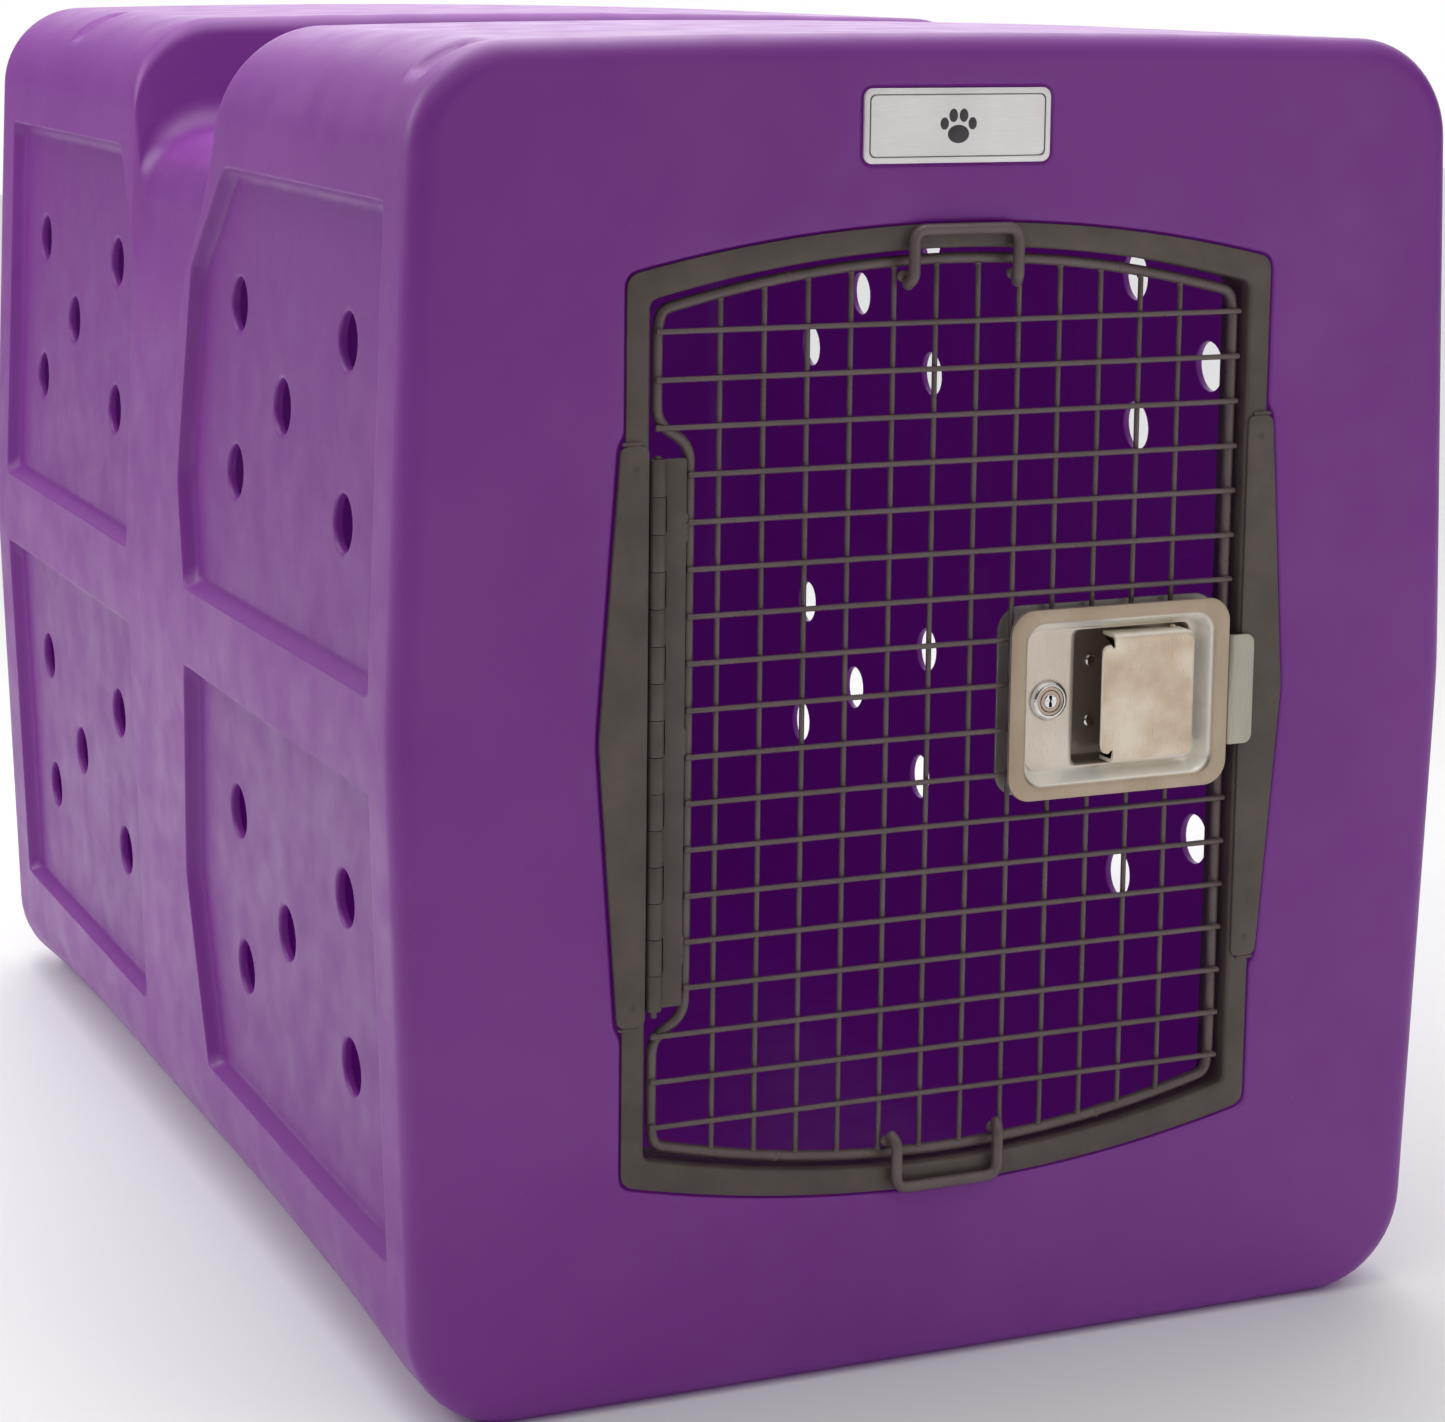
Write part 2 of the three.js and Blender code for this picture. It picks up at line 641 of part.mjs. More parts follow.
function hingeLeaf(plate, web, parity) {
  let leaf = solid(box(...plate, DOOR_Z - HINGE_HALF_H + 0.5, DOOR_Z + HINGE_HALF_H - 0.5));
  for (let i = 0; i < KNUCKLES; i++)
    if (i % 2 === parity) {
      const { barrel, z0, z1 } = knuckle(i);
      leaf = leaf.add(solid(box(...web, z0, z1))).add(barrel);
    }
  const low = new THREE.Vector3(HINGE_X, HINGE_Y, DOOR_Z - HINGE_HALF_H - 10);
  const high = new THREE.Vector3(HINGE_X, HINGE_Y, DOOR_Z + HINGE_HALF_H + 10);
  return geometryOf(leaf.subtract(solid(cylinder(PIN_D / 2 + GAP, low, high))));
}

function hingeFrameLeaf() {
  const wall = -FRAME_HALF_W + STRIP_W + GAP;
  const clearY = HINGE_Y + BARREL_D / 2 + GAP;
  return hingeLeaf([wall, wall + LEAF_T, clearY, 26], [wall + 0.2, wall + LEAF_T, HINGE_Y, clearY + 1], 0);
}

function hingeDoorLeaf() {
  const clearX = HINGE_X + BARREL_D / 2 + GAP;
  const plate = [clearX, NOTCH_X - RIM_D / 2 - GAP, HINGE_Y + 1.6, HINGE_Y + 1.6 + LEAF_T];
  return hingeLeaf(plate, [HINGE_X + 2.5, clearX + 1, plate[2], plate[3]], 1);
}

function hingePin() {
  const low = new THREE.Vector3(HINGE_X, HINGE_Y, DOOR_Z - HINGE_HALF_H - 4);
  const high = new THREE.Vector3(HINGE_X, HINGE_Y, DOOR_Z + HINGE_HALF_H + 1.5);
  return cylinder(PIN_D / 2, low, high, 12);
}

// ---------------------------------------------------------------- latch
function rectRing([x0, x1], halfH, r, y) {
  const outline = roundedPoints((x0 + x1) / 2, LATCH_Z, x1 - x0, 2 * halfH, r);
  return outline.map((p) => new THREE.Vector3(p.x, y, p.y));
}

// Outside (grow = SHEET) or inside (grow = 0) of the pressed dish and its deep pocket.
function dishBody(grow) {
  const mouth = [LATCH_X - DISH_W / 2 - grow, LATCH_X + DISH_W / 2 + grow];
  const floor = [mouth[0] + DISH_DRAFT, mouth[1] - DISH_DRAFT];
  const start = grow ? FLANGE_FRONT + 0.5 : FLANGE_FRONT - 1;
  const r = DISH_R + grow;
  const dish = loft([
    rectRing(mouth, DISH_H / 2 + grow, r, start),
    rectRing(mouth, DISH_H / 2 + grow, r, FLANGE_FRONT + 1.5),
    rectRing(floor, DISH_H / 2 + grow - DISH_DRAFT, r - 2, DISH_FLOOR + grow),
  ]);
  const sides = [POCKET_X[0] - grow, POCKET_X[1] + grow];
  const pocket = loft([
    rectRing(sides, POCKET_HALF_H + grow, 4 + grow, FLANGE_FRONT + 3),
    rectRing(sides, POCKET_HALF_H + grow, 4 + grow, POCKET_FLOOR + grow),
  ]);
  return dish.add(pocket);
}

function flangePlate(y) {
  return solid(slab(roundedRect(LATCH_X, LATCH_Z, FLANGE_W, FLANGE_H, FLANGE_R), y, y + SHEET));
}

function lockHole() {
  const from = new THREE.Vector3(LOCK_X, FLANGE_FRONT, LATCH_Z);
  const to = new THREE.Vector3(LOCK_X, BACKING_Y + 10, LATCH_Z);
  return solid(cylinder(LOCK_BODY_R + GAP, from, to));
}

function latchPan() {
  const pan = flangePlate(FLANGE_FRONT).add(dishBody(SHEET)).subtract(dishBody(0));
  const [x0, x1, half] = TAIL_SLOT;
  const slot = box(x0, x1, POCKET_FLOOR - 1, POCKET_FLOOR + 5, LATCH_Z - half, LATCH_Z + half);
  return geometryOf(pan.subtract(lockHole()).subtract(solid(slot)));
}

// Plate behind the wires that clamps the pan, with the block that guides the bolt.
function latchBacking() {
  const clear = SHEET + 0.5;
  const x = [POCKET_X[0] - clear, POCKET_X[1] + clear];
  const half = POCKET_HALF_H + clear;
  const pocket = box(...x, BACKING_Y - 1, BACKING_Y + SHEET + 1, LATCH_Z - half, LATCH_Z + half);
  const plate = flangePlate(BACKING_Y).subtract(solid(pocket)).subtract(lockHole());
  const guide = BOLT_HALF_H + 4;
  const block = box(...GUIDE_X, BACKING_Y + 0.9, BOLT_Y[1] + 3, LATCH_Z - guide, LATCH_Z + guide);
  const run = BOLT_HALF_H + 0.4;
  const bore = box(
    GUIDE_X[0] - 2, GUIDE_X[1] + 2, BOLT_Y[0] - 0.4, BOLT_Y[1] + 0.4, LATCH_Z - run, LATCH_Z + run,
  );
  return geometryOf(plate.add(solid(block)).subtract(solid(bore)));
}

function latchBolt() {
  const tip = BOLT_X[1];
  const outline = [
    [BOLT_X[0], BOLT_Y[0]], [tip, BOLT_Y[0]], [tip, BOLT_Y[0] + 4],
    [tip - 7, BOLT_Y[1]], [BOLT_X[0], BOLT_Y[1]],
  ];
  const ring = (z) => outline.map(([x, y]) => new THREE.Vector3(x, y, z));
  const bolt = loft([ring(LATCH_Z - BOLT_HALF_H), ring(LATCH_Z + BOLT_HALF_H)]);
  const x = PIVOT[0];
  const window = box(x - 7, x + 7, BOLT_Y[0] - 1, BOLT_Y[1] + 1, LATCH_Z - 6.5, LATCH_Z + 6.5);
  return geometryOf(bolt.subtract(solid(window)));
}

// Pressed paddle: front plate with two bent side flanges, a pivot hub and the tail that drives the bolt.
function latchPaddle() {
  const [x0, x1] = PADDLE_X;
  const width = x1 - x0;
  const half = PADDLE_HALF_H;
  const face = roundedRect(x0 + width / 2, LATCH_Z, width, 2 * half, 4);
  let body = solid(slab(face, PADDLE_FRONT, PADDLE_FRONT + PADDLE_T));
  const side = [
    [x0 + 8, PADDLE_FRONT + 0.6], [x1, PADDLE_FRONT + 0.6],
    [x1, PADDLE_FRONT + PADDLE_SIDE_D], [x0 + 8, PADDLE_FRONT + PADDLE_SIDE_D],
  ];
  for (const up of [-1, 1]) {
    const ring = (height) => side.map(([x, y]) => new THREE.Vector3(x, y, LATCH_Z + up * height));
    body = body.add(loft([ring(half - PADDLE_T), ring(half - 0.05)]));
  }
  const [px, py] = PIVOT;
  const at = (height) => new THREE.Vector3(px, py, LATCH_Z + height);
  const tail = box(px - 2, px + 2, PADDLE_FRONT + 1, TAIL_END_Y, LATCH_Z - 5, LATCH_Z + 5);
  body = body.add(solid(tail)).add(solid(cylinder(4.6, at(-8), at(8))));
  const bore = solid(cylinder(PADDLE_PIN_D / 2 + GAP / 2, at(-half - 5), at(half + 5)));
  return geometryOf(body.subtract(bore));
}

function paddlePin() {
  const at = (height) => new THREE.Vector3(...PIVOT, LATCH_Z + height);
  return cylinder(PADDLE_PIN_D / 2, at(0.3 - POCKET_HALF_H), at(POCKET_HALF_H - 0.3), 12);
}

function paddleSpring() {
  const samples = [];
  const turns = 4;
  for (let k = 0; k <= turns * 10; k++) {
    const t = (2 * Math.PI * k) / 10;
    const z = LATCH_Z + 14 + (k / 10) * 2.6;
    samples.push(new THREE.Vector3(PIVOT[0] + 4.2 * Math.cos(t), PIVOT[1] + 4.2 * Math.sin(t), z));
  }
  return sweep(samples, 0.7, false, 6);
}

// A body of revolution along Y about the lock's centre, from [radius, y] pairs.
function turnedPart(profile, sides = 24) {
  const g = new THREE.LatheGeometry(profile.map(([r, y]) => new THREE.Vector2(r, y)), sides);
  const body = solid(g);
  const made = geometryOf(body.volume() < 0 ? solid(turned(mergeVertices(stripped(g), 1e-4))) : body);
  return made.translate(LOCK_X, 0, LATCH_Z);
}

function stripped(g) {
  g.deleteAttribute("normal");
  g.deleteAttribute("uv");
  return g;
}

function lockCylinder() {
  const bore = PLUG_R + GAP;
  const back = 31;
  const bezel = DISH_FLOOR - GAP;
  const profile = [
    [bore, 4.6], [LOCK_R - 0.8, 4.6], [LOCK_R, 5.4], [LOCK_R, bezel], [LOCK_BODY_R, bezel],
    [LOCK_BODY_R, back], [bore, back], [bore, 4.6],
  ];
  return turnedPart(profile);
}

function lockPlug() {
  const from = new THREE.Vector3(LOCK_X, 5, LATCH_Z);
  const to = new THREE.Vector3(LOCK_X, 33, LATCH_Z);
  const keyway = box(LOCK_X - 0.9, LOCK_X + 0.9, 4, 16, LATCH_Z - 3.6, LATCH_Z + 3.6);
  return geometryOf(solid(cylinder(PLUG_R, from, to, 20)).subtract(solid(keyway)));
}

function lockCam() {
  const points = [[-6, -4], [-4, -12.5], [4, -12.5], [6, -4], [5, 4], [2, 6], [-2, 6], [-5, 4]];
  const outline = points.map(([x, z]) => new THREE.Vector2(LOCK_X + x, LATCH_Z + z));
  return slab(new THREE.Shape(outline), 33.3, 36);
}

function stopTab() {
  const [x0, x1] = TAB_X;
  const half = TAB_HALF_H;
  const outline = [
    [x0, -half], [x1 - 6, -half], [x1 - 1.8, 1.8 - half], [x1, 6 - half],
    [x1, half - 6], [x1 - 1.8, half - 1.8], [x1 - 6, half], [x0, half],
  ];
  const shape = new THREE.Shape(outline.map(([x, z]) => new THREE.Vector2(x, LATCH_Z + z)));
  const leg = box(x0, x0 + 1.8, TAB_FRONT + 1, RIM_Y - RIM_D / 2 - GAP, LATCH_Z - half, LATCH_Z + half);
  return geometryOf(solid(slab(shape, TAB_FRONT, TAB_FRONT + TAB_T)).add(solid(leg)));
}

function panRivet(height) {
  const ring = (r, y) => {
    const points = [];
    for (let k = 0; k < 12; k++) {
      const t = (Math.PI * k) / 6;
      points.push(new THREE.Vector3(RIVET_X + r * Math.cos(t), y, LATCH_Z + height + r * Math.sin(t)));
    }
    return points;
  };
  const back = POCKET_FLOOR - GAP;
  return geometryOf(loft([ring(1.6, back - 1.9), ring(3.2, back - 1.3), ring(4, back)]));
}

function badgePlate() {
  const plate = roundedRect(BADGE_X, BADGE_Z, BADGE_W, BADGE_H, BADGE_R);
  const outer = roundedPoints(BADGE_X, BADGE_Z, BADGE_W - 6, BADGE_H - 6, BADGE_R - 1.5);
  const line = new THREE.Shape(outer);
  const inner = roundedPoints(BADGE_X, BADGE_Z, BADGE_W - 8, BADGE_H - 8, BADGE_R - 2);
  line.holes.push(new THREE.Path(inner));
  const groove = solid(slab(line, BADGE_Y[0] - 1, BADGE_Y[0] + 0.4));
  return geometryOf(solid(slab(plate, ...BADGE_Y)).subtract(groove));
}

// ---------------------------------------------------------------- assembly
add("shell", geometryOf(shellBody()), PLASTIC);
add("door_frame", geometryOf(doorFrame()), COATED);
add("hinge_cheek", cheekPlate(-1), COATED);
add("strike_cheek", cheekPlate(1), COATED);
add("door_rim", rim(), COATED);
addWires();
add("stop_loop_top", stopLoop(1), COATED);
add("stop_loop_bottom", stopLoop(-1), COATED);
add("hinge_frame_leaf", hingeFrameLeaf(), COATED);
add("hinge_door_leaf", hingeDoorLeaf(), COATED);
add("hinge_pin", hingePin(), COATED);
add("latch_pan", latchPan(), STAINLESS);
add("latch_backing", latchBacking(), STAINLESS);
add("latch_paddle", latchPaddle(), STAINLESS);
add("paddle_pin", paddlePin(), STAINLESS);
add("paddle_spring", paddleSpring(), SPRING_STEEL);
add("latch_bolt", latchBolt(), STAINLESS);
add("lock_cylinder", lockCylinder(), CHROME);
add("lock_plug", lockPlug(), CHROME);
add("lock_cam", lockCam(), STAINLESS);
add("stop_tab", stopTab(), COATED);
add("pan_rivet_upper", panRivet(RIVET_Z), STAINLESS);
add("pan_rivet_lower", panRivet(-RIVET_Z), STAINLESS);
add("badge_plate", badgePlate(), BADGE_METAL);

// The origin is the middle of the foot of everything above.
const extent = new THREE.Box3().setFromObject(carrier);
carrier.position.y = -(extent.min.y + extent.max.y) / 2;
carrier.updateMatrixWorld(true);

export default carrier;
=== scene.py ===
"""Pet transport carrier: looks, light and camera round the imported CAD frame.

Shapes are made in millimetres in the carrier's own frame: X to the right as seen from the door, Y from
the shell's front face to the back, Z up from the floor. piece() turns them into the row frame in metres.
"""
import math

import bmesh
import bpy
import numpy as np
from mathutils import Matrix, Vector
from mathutils.geometry import delaunay_2d_cdt


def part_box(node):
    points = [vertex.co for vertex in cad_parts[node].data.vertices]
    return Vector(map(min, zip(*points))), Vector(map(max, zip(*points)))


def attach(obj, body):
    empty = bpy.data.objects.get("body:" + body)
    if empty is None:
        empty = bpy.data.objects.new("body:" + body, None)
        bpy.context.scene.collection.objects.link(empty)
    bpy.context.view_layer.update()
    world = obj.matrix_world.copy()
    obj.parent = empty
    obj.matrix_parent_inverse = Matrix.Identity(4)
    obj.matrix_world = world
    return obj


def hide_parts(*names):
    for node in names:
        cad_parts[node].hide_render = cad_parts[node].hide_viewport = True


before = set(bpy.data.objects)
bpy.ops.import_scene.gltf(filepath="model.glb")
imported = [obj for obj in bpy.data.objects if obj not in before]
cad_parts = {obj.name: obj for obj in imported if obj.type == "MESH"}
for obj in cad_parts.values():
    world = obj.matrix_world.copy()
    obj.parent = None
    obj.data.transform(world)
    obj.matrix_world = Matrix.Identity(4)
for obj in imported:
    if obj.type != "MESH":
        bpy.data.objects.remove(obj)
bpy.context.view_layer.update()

MM = 0.001
STRAIGHT_ENOUGH = 0.06  # radians; flatter corners are not rounded
WELD_DISTANCE = 4e-6  # metres; points closer than this are one point
FRONT_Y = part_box("shell")[0][1]  # the shell's front face in the row frame

# ------------------------------------------------------------------ dimensions, millimetres
BODY_W, BODY_H, BODY_L = 648, 743, 987
MID_Z = 373.5
SIDE_LEAN = 0.037
LEAN = math.atan(SIDE_LEAN)
ROOF_CROWN = 3.4
ROOF_Z = BODY_H - ROOF_CROWN
CORNER_R = 58
WAIST_R = 18
FRONT_R = 14
BACK_R = 50
WALL = 5.5
FRONT_WALL = 7.5
SIDE_LOW, SIDE_HIGH = 80, 680  # heights between which a side is one patch
SIDE_LINES = np.linspace(SIDE_LOW, SIDE_HIGH, 51)[1:-1]  # heights of its lines at the rounded ends

VALLEY_Z = 668
VALLEY_R = 46
VALLEY_SET_IN = 5
VALLEY_START = 330  # where the front hump's roof starts to turn down
VALLEY_END = 568  # where the rear hump's roof has come back up
VALLEY_DRAFT = math.radians(6)  # how far its walls lean
HALFWAY = 450  # between the valley's two walls

PANELS = [
    [[42, 398], [406, 394], [426, 458], [406, 592], [341, 656], [42, 656]],
    [[42, 86], [397, 88], [428, 207], [410, 343], [42, 345]],
    [[550, 396], [908, 396], [908, 656], [588, 656], [549, 594]],
    [[549, 88], [905, 88], [908, 343], [549, 345]],
]
PANEL_DEPTH = 9
PANEL_LEAD, PANEL_WALL_RUN = 0.9, 8.4  # where the panels' wall starts outside the outline, and its width
PANEL_TOP_BEND, PANEL_FOOT_BEND = 0.07, 2.3  # how softly the wall bends at its top and at its foot
PANEL_RINGS = (-1.8, -0.9, -0.4, 0.1, 0.7, 1.4, 2.3, 3.5, 5.0, 6.8, 8.6)  # mesh lines along the wall
VENT_R = 16
VENT_RINGS = ((0, 40), (0.25, 40), (0.8, 40), (1.8, 40), (3.6, 28))  # (distance outwards, points)
VENTS = [(y + bay, z) for bay in (0, 505) for y, z in (
    (330, 576), (120, 576), (238, 526), (330, 476), (120, 477),
    (330, 268), (120, 268), (238, 216), (330, 170), (120, 171))]

DENT_YS, DENT_HALF_L, DENT_DEPTH, DENT_STEEP = (41, 772), 15, 4.5, 2.2
DENT_ANGLE, DENT_HALF_ANGLE = math.radians(62), math.radians(21)

DOOR_Z = 372.4
LATCH_X, LATCH_Z = 103, DOOR_Z + 1
PITCH = 25.4
BADGE_X, BADGE_Z, BADGE_W, BADGE_H = -5, 694, 112, 40


# ------------------------------------------------------------------ mesh helpers
def piece(skin, name, look, body, nodes, sharp=None):
    """A closed mesh from a skin in millimetres, riding on a CAD body in place of its nodes."""
    material, slot = look
    points = skin.points() * MM
    points[:, 1] += FRONT_Y
    mesh = bpy.data.meshes.new(name)
    mesh.from_pydata(points.tolist(), [], [tuple(f) for f in skin.faces])
    work = bmesh.new()
    work.from_mesh(mesh)
    bmesh.ops.remove_doubles(work, verts=work.verts, dist=WELD_DISTANCE)
    bmesh.ops.recalc_face_normals(work, faces=work.faces)
    work.to_mesh(mesh)
    work.free()
    mesh.polygons.foreach_set("use_smooth", [True] * len(mesh.polygons))
    if sharp:
        mesh.set_sharp_from_angle(angle=math.radians(sharp))
    mesh.materials.append(material)
    made = bpy.data.objects.new(name, mesh)
    bpy.context.collection.objects.link(made)
    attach(made, body)
    if nodes:
        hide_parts(*nodes)


class Skin:
    """Points and faces that grow piece by piece."""

    def __init__(self):
        self.verts, self.faces, self.count = [], [], 0

    def add(self, points, faces):
        start = self.count
        points = np.asarray(points, float)
        self.verts.append(points)
        self.faces += [[start + int(i) for i in f] for f in faces]
        self.count += len(points)

    def loft(self, rings, closed=True, cap=""):
        """Skins rings of equally many points; cap says which ends get a fan: s the start, e the end."""
        rings = [np.asarray(r, float) for r in rings]
        n = len(rings[0])
        faces = []
        for r in range(len(rings) - 1):
            for i in range(n if closed else n - 1):
                a, b = r * n + i, r * n + (i + 1) % n
                faces.append((a, b, b + n, a + n))
        points = list(np.concatenate(rings))
        for end, ring, base in (("s", rings[0], 0), ("e", rings[-1], (len(rings) - 1) * n)):
            if end in cap:
                centre = len(points)
                points.append(ring.mean(0))
                faces += [(base + i, base + (i + 1) % n, centre) for i in range(n)]
        self.add(points, faces)

    def points(self):
        return np.concatenate(self.verts)


def triangulate(loops, lines=(), points=(), inside=None):
    """2-D points and the triangles between them that respect closed loops and open lines."""
    coords, edges = [], []
    for group, closed in ((loops, True), (lines, False)):
        for path in group:
            start, n = len(coords), len(path)
            coords += [Vector((float(p[0]), float(p[1]))) for p in path]
            edges += [(start + k, start + (k + 1) % n) for k in range(n if closed else n - 1)]
    coords += [Vector((float(p[0]), float(p[1]))) for p in points]
    found = delaunay_2d_cdt(coords, edges, [], 0, 1e-4, False)
    spots = np.array([(v.x, v.y) for v in found[0]], float)
    triangles = np.array(found[2], int)
    if inside is not None:
        triangles = triangles[inside(spots[triangles].mean(1))]
    return spots, triangles


def in_loop(points, loop):
    """Which 2-D points lie inside a closed loop."""
    points, loop = np.asarray(points, float), np.asarray(loop, float)
    hit = np.zeros(len(points), bool)
    x, y = points[:, 0], points[:, 1]
    for (x0, y0), (x1, y1) in zip(loop, np.roll(loop, -1, 0)):
        if y0 == y1:
            continue
        crosses = ((y0 > y) != (y1 > y)) & (x < x0 + (y - y0) * (x1 - x0) / (y1 - y0))
        hit ^= crosses
    return hit


def grid_points(x0, x1, y0, y1, step):
    """Staggered fill-in points, so that no two neighbouring rows line up."""
    rows = []
    for k, y in enumerate(np.arange(y0 + step / 2, y1, step * 0.87)):
        rows += [(x + (step / 2 if k % 2 else 0), y) for x in np.arange(x0 + step / 2, x1 - step / 2, step)]
    return np.array(rows)


def near_loop(points, loop, reach):
    """Which points lie within reach of a loop's or line's own points."""
    points, loop = np.asarray(points, float), np.asarray(loop, float)
    close = np.zeros(len(points), bool)
    for spot in loop:
        close |= (np.abs(points - spot) < reach).all(1) & (((points - spot) ** 2).sum(1) < reach ** 2)
    return close


def densify(loop, step, closed=True):
    """The loop with points added so that none are further apart than step."""
    out = []
    n = len(loop)
    for i in range(n if closed else n - 1):
        a, b = np.asarray(loop[i], float), np.asarray(loop[(i + 1) % n], float)
        parts = max(1, int(math.ceil(np.linalg.norm(b - a) / step)))
        out += [a + (b - a) * k / parts for k in range(parts)]
    if not closed:
        out.append(np.asarray(loop[-1], float))
    return np.array(out)


def round_rect(cx, cz, w, h, r, steps=6, along=0):
    """A rounded rectangle as points, counter-clockwise; along adds points on its straight sides."""
    points = []
    for i, (sx, sz) in enumerate(((1, -1), (1, 1), (-1, 1), (-1, -1))):
        for k in range(steps + 1):
            t = (i - 1 + k / steps) * math.pi / 2
            points.append((cx + sx * (w / 2 - r) + r * math.cos(t), cz + sz * (h / 2 - r) + r * math.sin(t)))
        if along:
            nx, nz = ((1, 1), (-1, 1), (-1, -1), (1, -1))[i]
            a = np.array(points[-1])
            t = i * math.pi / 2
            b = np.array((cx + nx * (w / 2 - r) + r * math.cos(t), cz + nz * (h / 2 - r) + r * math.sin(t)))
            points += [tuple(a + (b - a) * k / (along + 1)) for k in range(1, along + 1)]
    return np.array(points)


def rounded(points, radius, steps=6, closed=True, most=0.45):
    """Corners rounded by a quadratic curve over at most a share of their sides; near-straight ones stay."""
    points = [np.asarray(p, float) for p in points]
    out = []
    n = len(points)
    for i, p in enumerate(points):
        if not closed and i in (0, n - 1):
            out.append(p)
            continue
        to_a, to_b = points[i - 1] - p, points[(i + 1) % n] - p
        la, lb = np.linalg.norm(to_a), np.linalg.norm(to_b)
        turn = math.acos(max(-1, min(1, float(to_a @ to_b) / (la * lb))))
        if abs(turn - math.pi) < STRAIGHT_ENOUGH:
            out.append(p)
            continue
        reach = min(radius, la * most, lb * most)
        a, b = p + to_a / la * reach, p + to_b / lb * reach
        for k in range(steps + 1):
            t = k / steps
            out.append((1 - t) ** 2 * a + 2 * t * (1 - t) * p + t * t * b)
    return np.array(out)


def turning(loop):
    """1 for a counter-clockwise outline, -1 for a clockwise one."""
    x, y = loop[:, 0], loop[:, 1]
    return math.copysign(1, float((x * np.roll(y, -1) - np.roll(x, -1) * y).sum()))


def grown(loop, by):
    """A smooth closed outline moved outwards by a distance."""
    loop = np.asarray(loop, float)
    ahead, behind = np.roll(loop, -1, 0) - loop, loop - np.roll(loop, 1, 0)
    na = np.stack([ahead[:, 1], -ahead[:, 0]], 1) / np.linalg.norm(ahead, axis=1)[:, None]
    nb = np.stack([behind[:, 1], -behind[:, 0]], 1) / np.linalg.norm(behind, axis=1)[:, None]
    mean = (na + nb) * turning(loop)
    mean /= np.linalg.norm(mean, axis=1)[:, None]
    stretch = 1 / np.clip(np.abs((mean * na).sum(1)), 0.5, 1)
    return loop + mean * (by * stretch)[:, None]


def at_x(loop, x):
    """A 2-D outline of (y, z) as 3-D points at x."""
    return np.insert(np.asarray(loop, float), 0, x, 1)


def at_y(loop, y):
    """A 2-D outline of (x, z) as 3-D points at depth y."""
    return np.insert(np.asarray(loop, float), 1, y, 1)


def at_z(loop, z):
    """A 2-D outline of (x, y) as 3-D points at height z."""
    return np.insert(np.asarray(loop, float), 2, z, 1)


def single(loop):
    """The loop in the precision that the triangulation works in."""
    return np.asarray(loop, np.float32).astype(float)


def edge_rings(outline, profile):
    """The outline moved out by each distance of a profile of (distance, y) pairs."""
    return [at_y(single(grown(outline, by)), y) for by, y in profile]


def face_between(skin, outer, holes, level, step=None, put=at_y):
    """A flat face at a level between an outline and its holes."""
    outer, holes = single(outer), [single(hole) for hole in holes]
    fill = []
    if step:
        low, high = np.min(outer, 0), np.max(outer, 0)
        fill = grid_points(low[0], high[0], low[1], high[1], step)
        keep = in_loop(fill, outer) & ~near_loop(fill, outer, step * 0.6)
        for hole in holes:
            keep &= ~in_loop(fill, hole) & ~near_loop(fill, hole, step * 0.6)
        fill = fill[keep]

    def inside(centres):
        keep = in_loop(centres, outer)
        for hole in holes:
            keep &= ~in_loop(centres, hole)
        return keep

    spots, triangles = triangulate([outer, *holes], points=fill, inside=inside)
    skin.add(put(spots, level), triangles)


def plate(skin, outline, holes, w0, w1, edge, steps=3, put=at_y):
    """A flat plate between two levels with rounded rims round its outline and its holes."""
    def rim(loop, sign):
        loops = []
        for k in range(steps + 1):
            t = math.pi / 2 * k / steps
            loops.append((grown(loop, -sign * edge * (1 - math.sin(t))), edge * (1 - math.cos(t))))
        return [(a, w0 + w) for a, w in loops] + [(a, w1 - w) for a, w in reversed(loops)]

    rims = [rim(outline, 1)] + [rim(hole, -1) for hole in holes]
    for one in rims:
        skin.loft([put(single(loop), w) for loop, w in one])
    for end, w in ((0, w0), (-1, w1)):
        face_between(skin, rims[0][end][0], [one[end][0] for one in rims[1:]], w, put=put)


def circle(cx, cy, r, n=32):
    t = np.arange(n) * 2 * math.pi / n
    return np.stack([cx + r * np.cos(t), cy + r * np.sin(t)], 1)


def lathe(skin, profile, cx, cz, sides=48):
    """A body turned about a line along Y, from (radius, y) pairs that start and end near the axis."""
    skin.loft([at_y(circle(cx, cz, r, sides), y) for r, y in profile], cap="se")


def blob(skin, centre, radii, sides=12, rings=8):
    """A small rounded lump, such as a weld."""
    loops = []
    for k in range(1, rings):
        t = math.pi * k / rings
        ring = circle(0, 0, math.sin(t), sides)
        loops.append(np.stack([ring[:, 0], ring[:, 1], np.full(sides, math.cos(t))], 1) * radii + centre)
    skin.loft(loops, cap="se")


def bead(skin, start, end, radius, ripples):
    """A weld bead: a short run of overlapping ripples."""
    start, end = np.asarray(start, float), np.asarray(end, float)
    n = ripples * 6
    share = np.linspace(0, 1, n + 1)
    path = start + np.outer(share, end - start)
    swellings = 0.84 + 0.16 * np.abs(np.sin(share * math.pi * ripples))
    radii = radius * swellings * np.sqrt(np.clip(1 - (2 * share - 1) ** 6, 0.12, 1))
    skin.loft(tube_rings(path, radii, 12), cap="se")


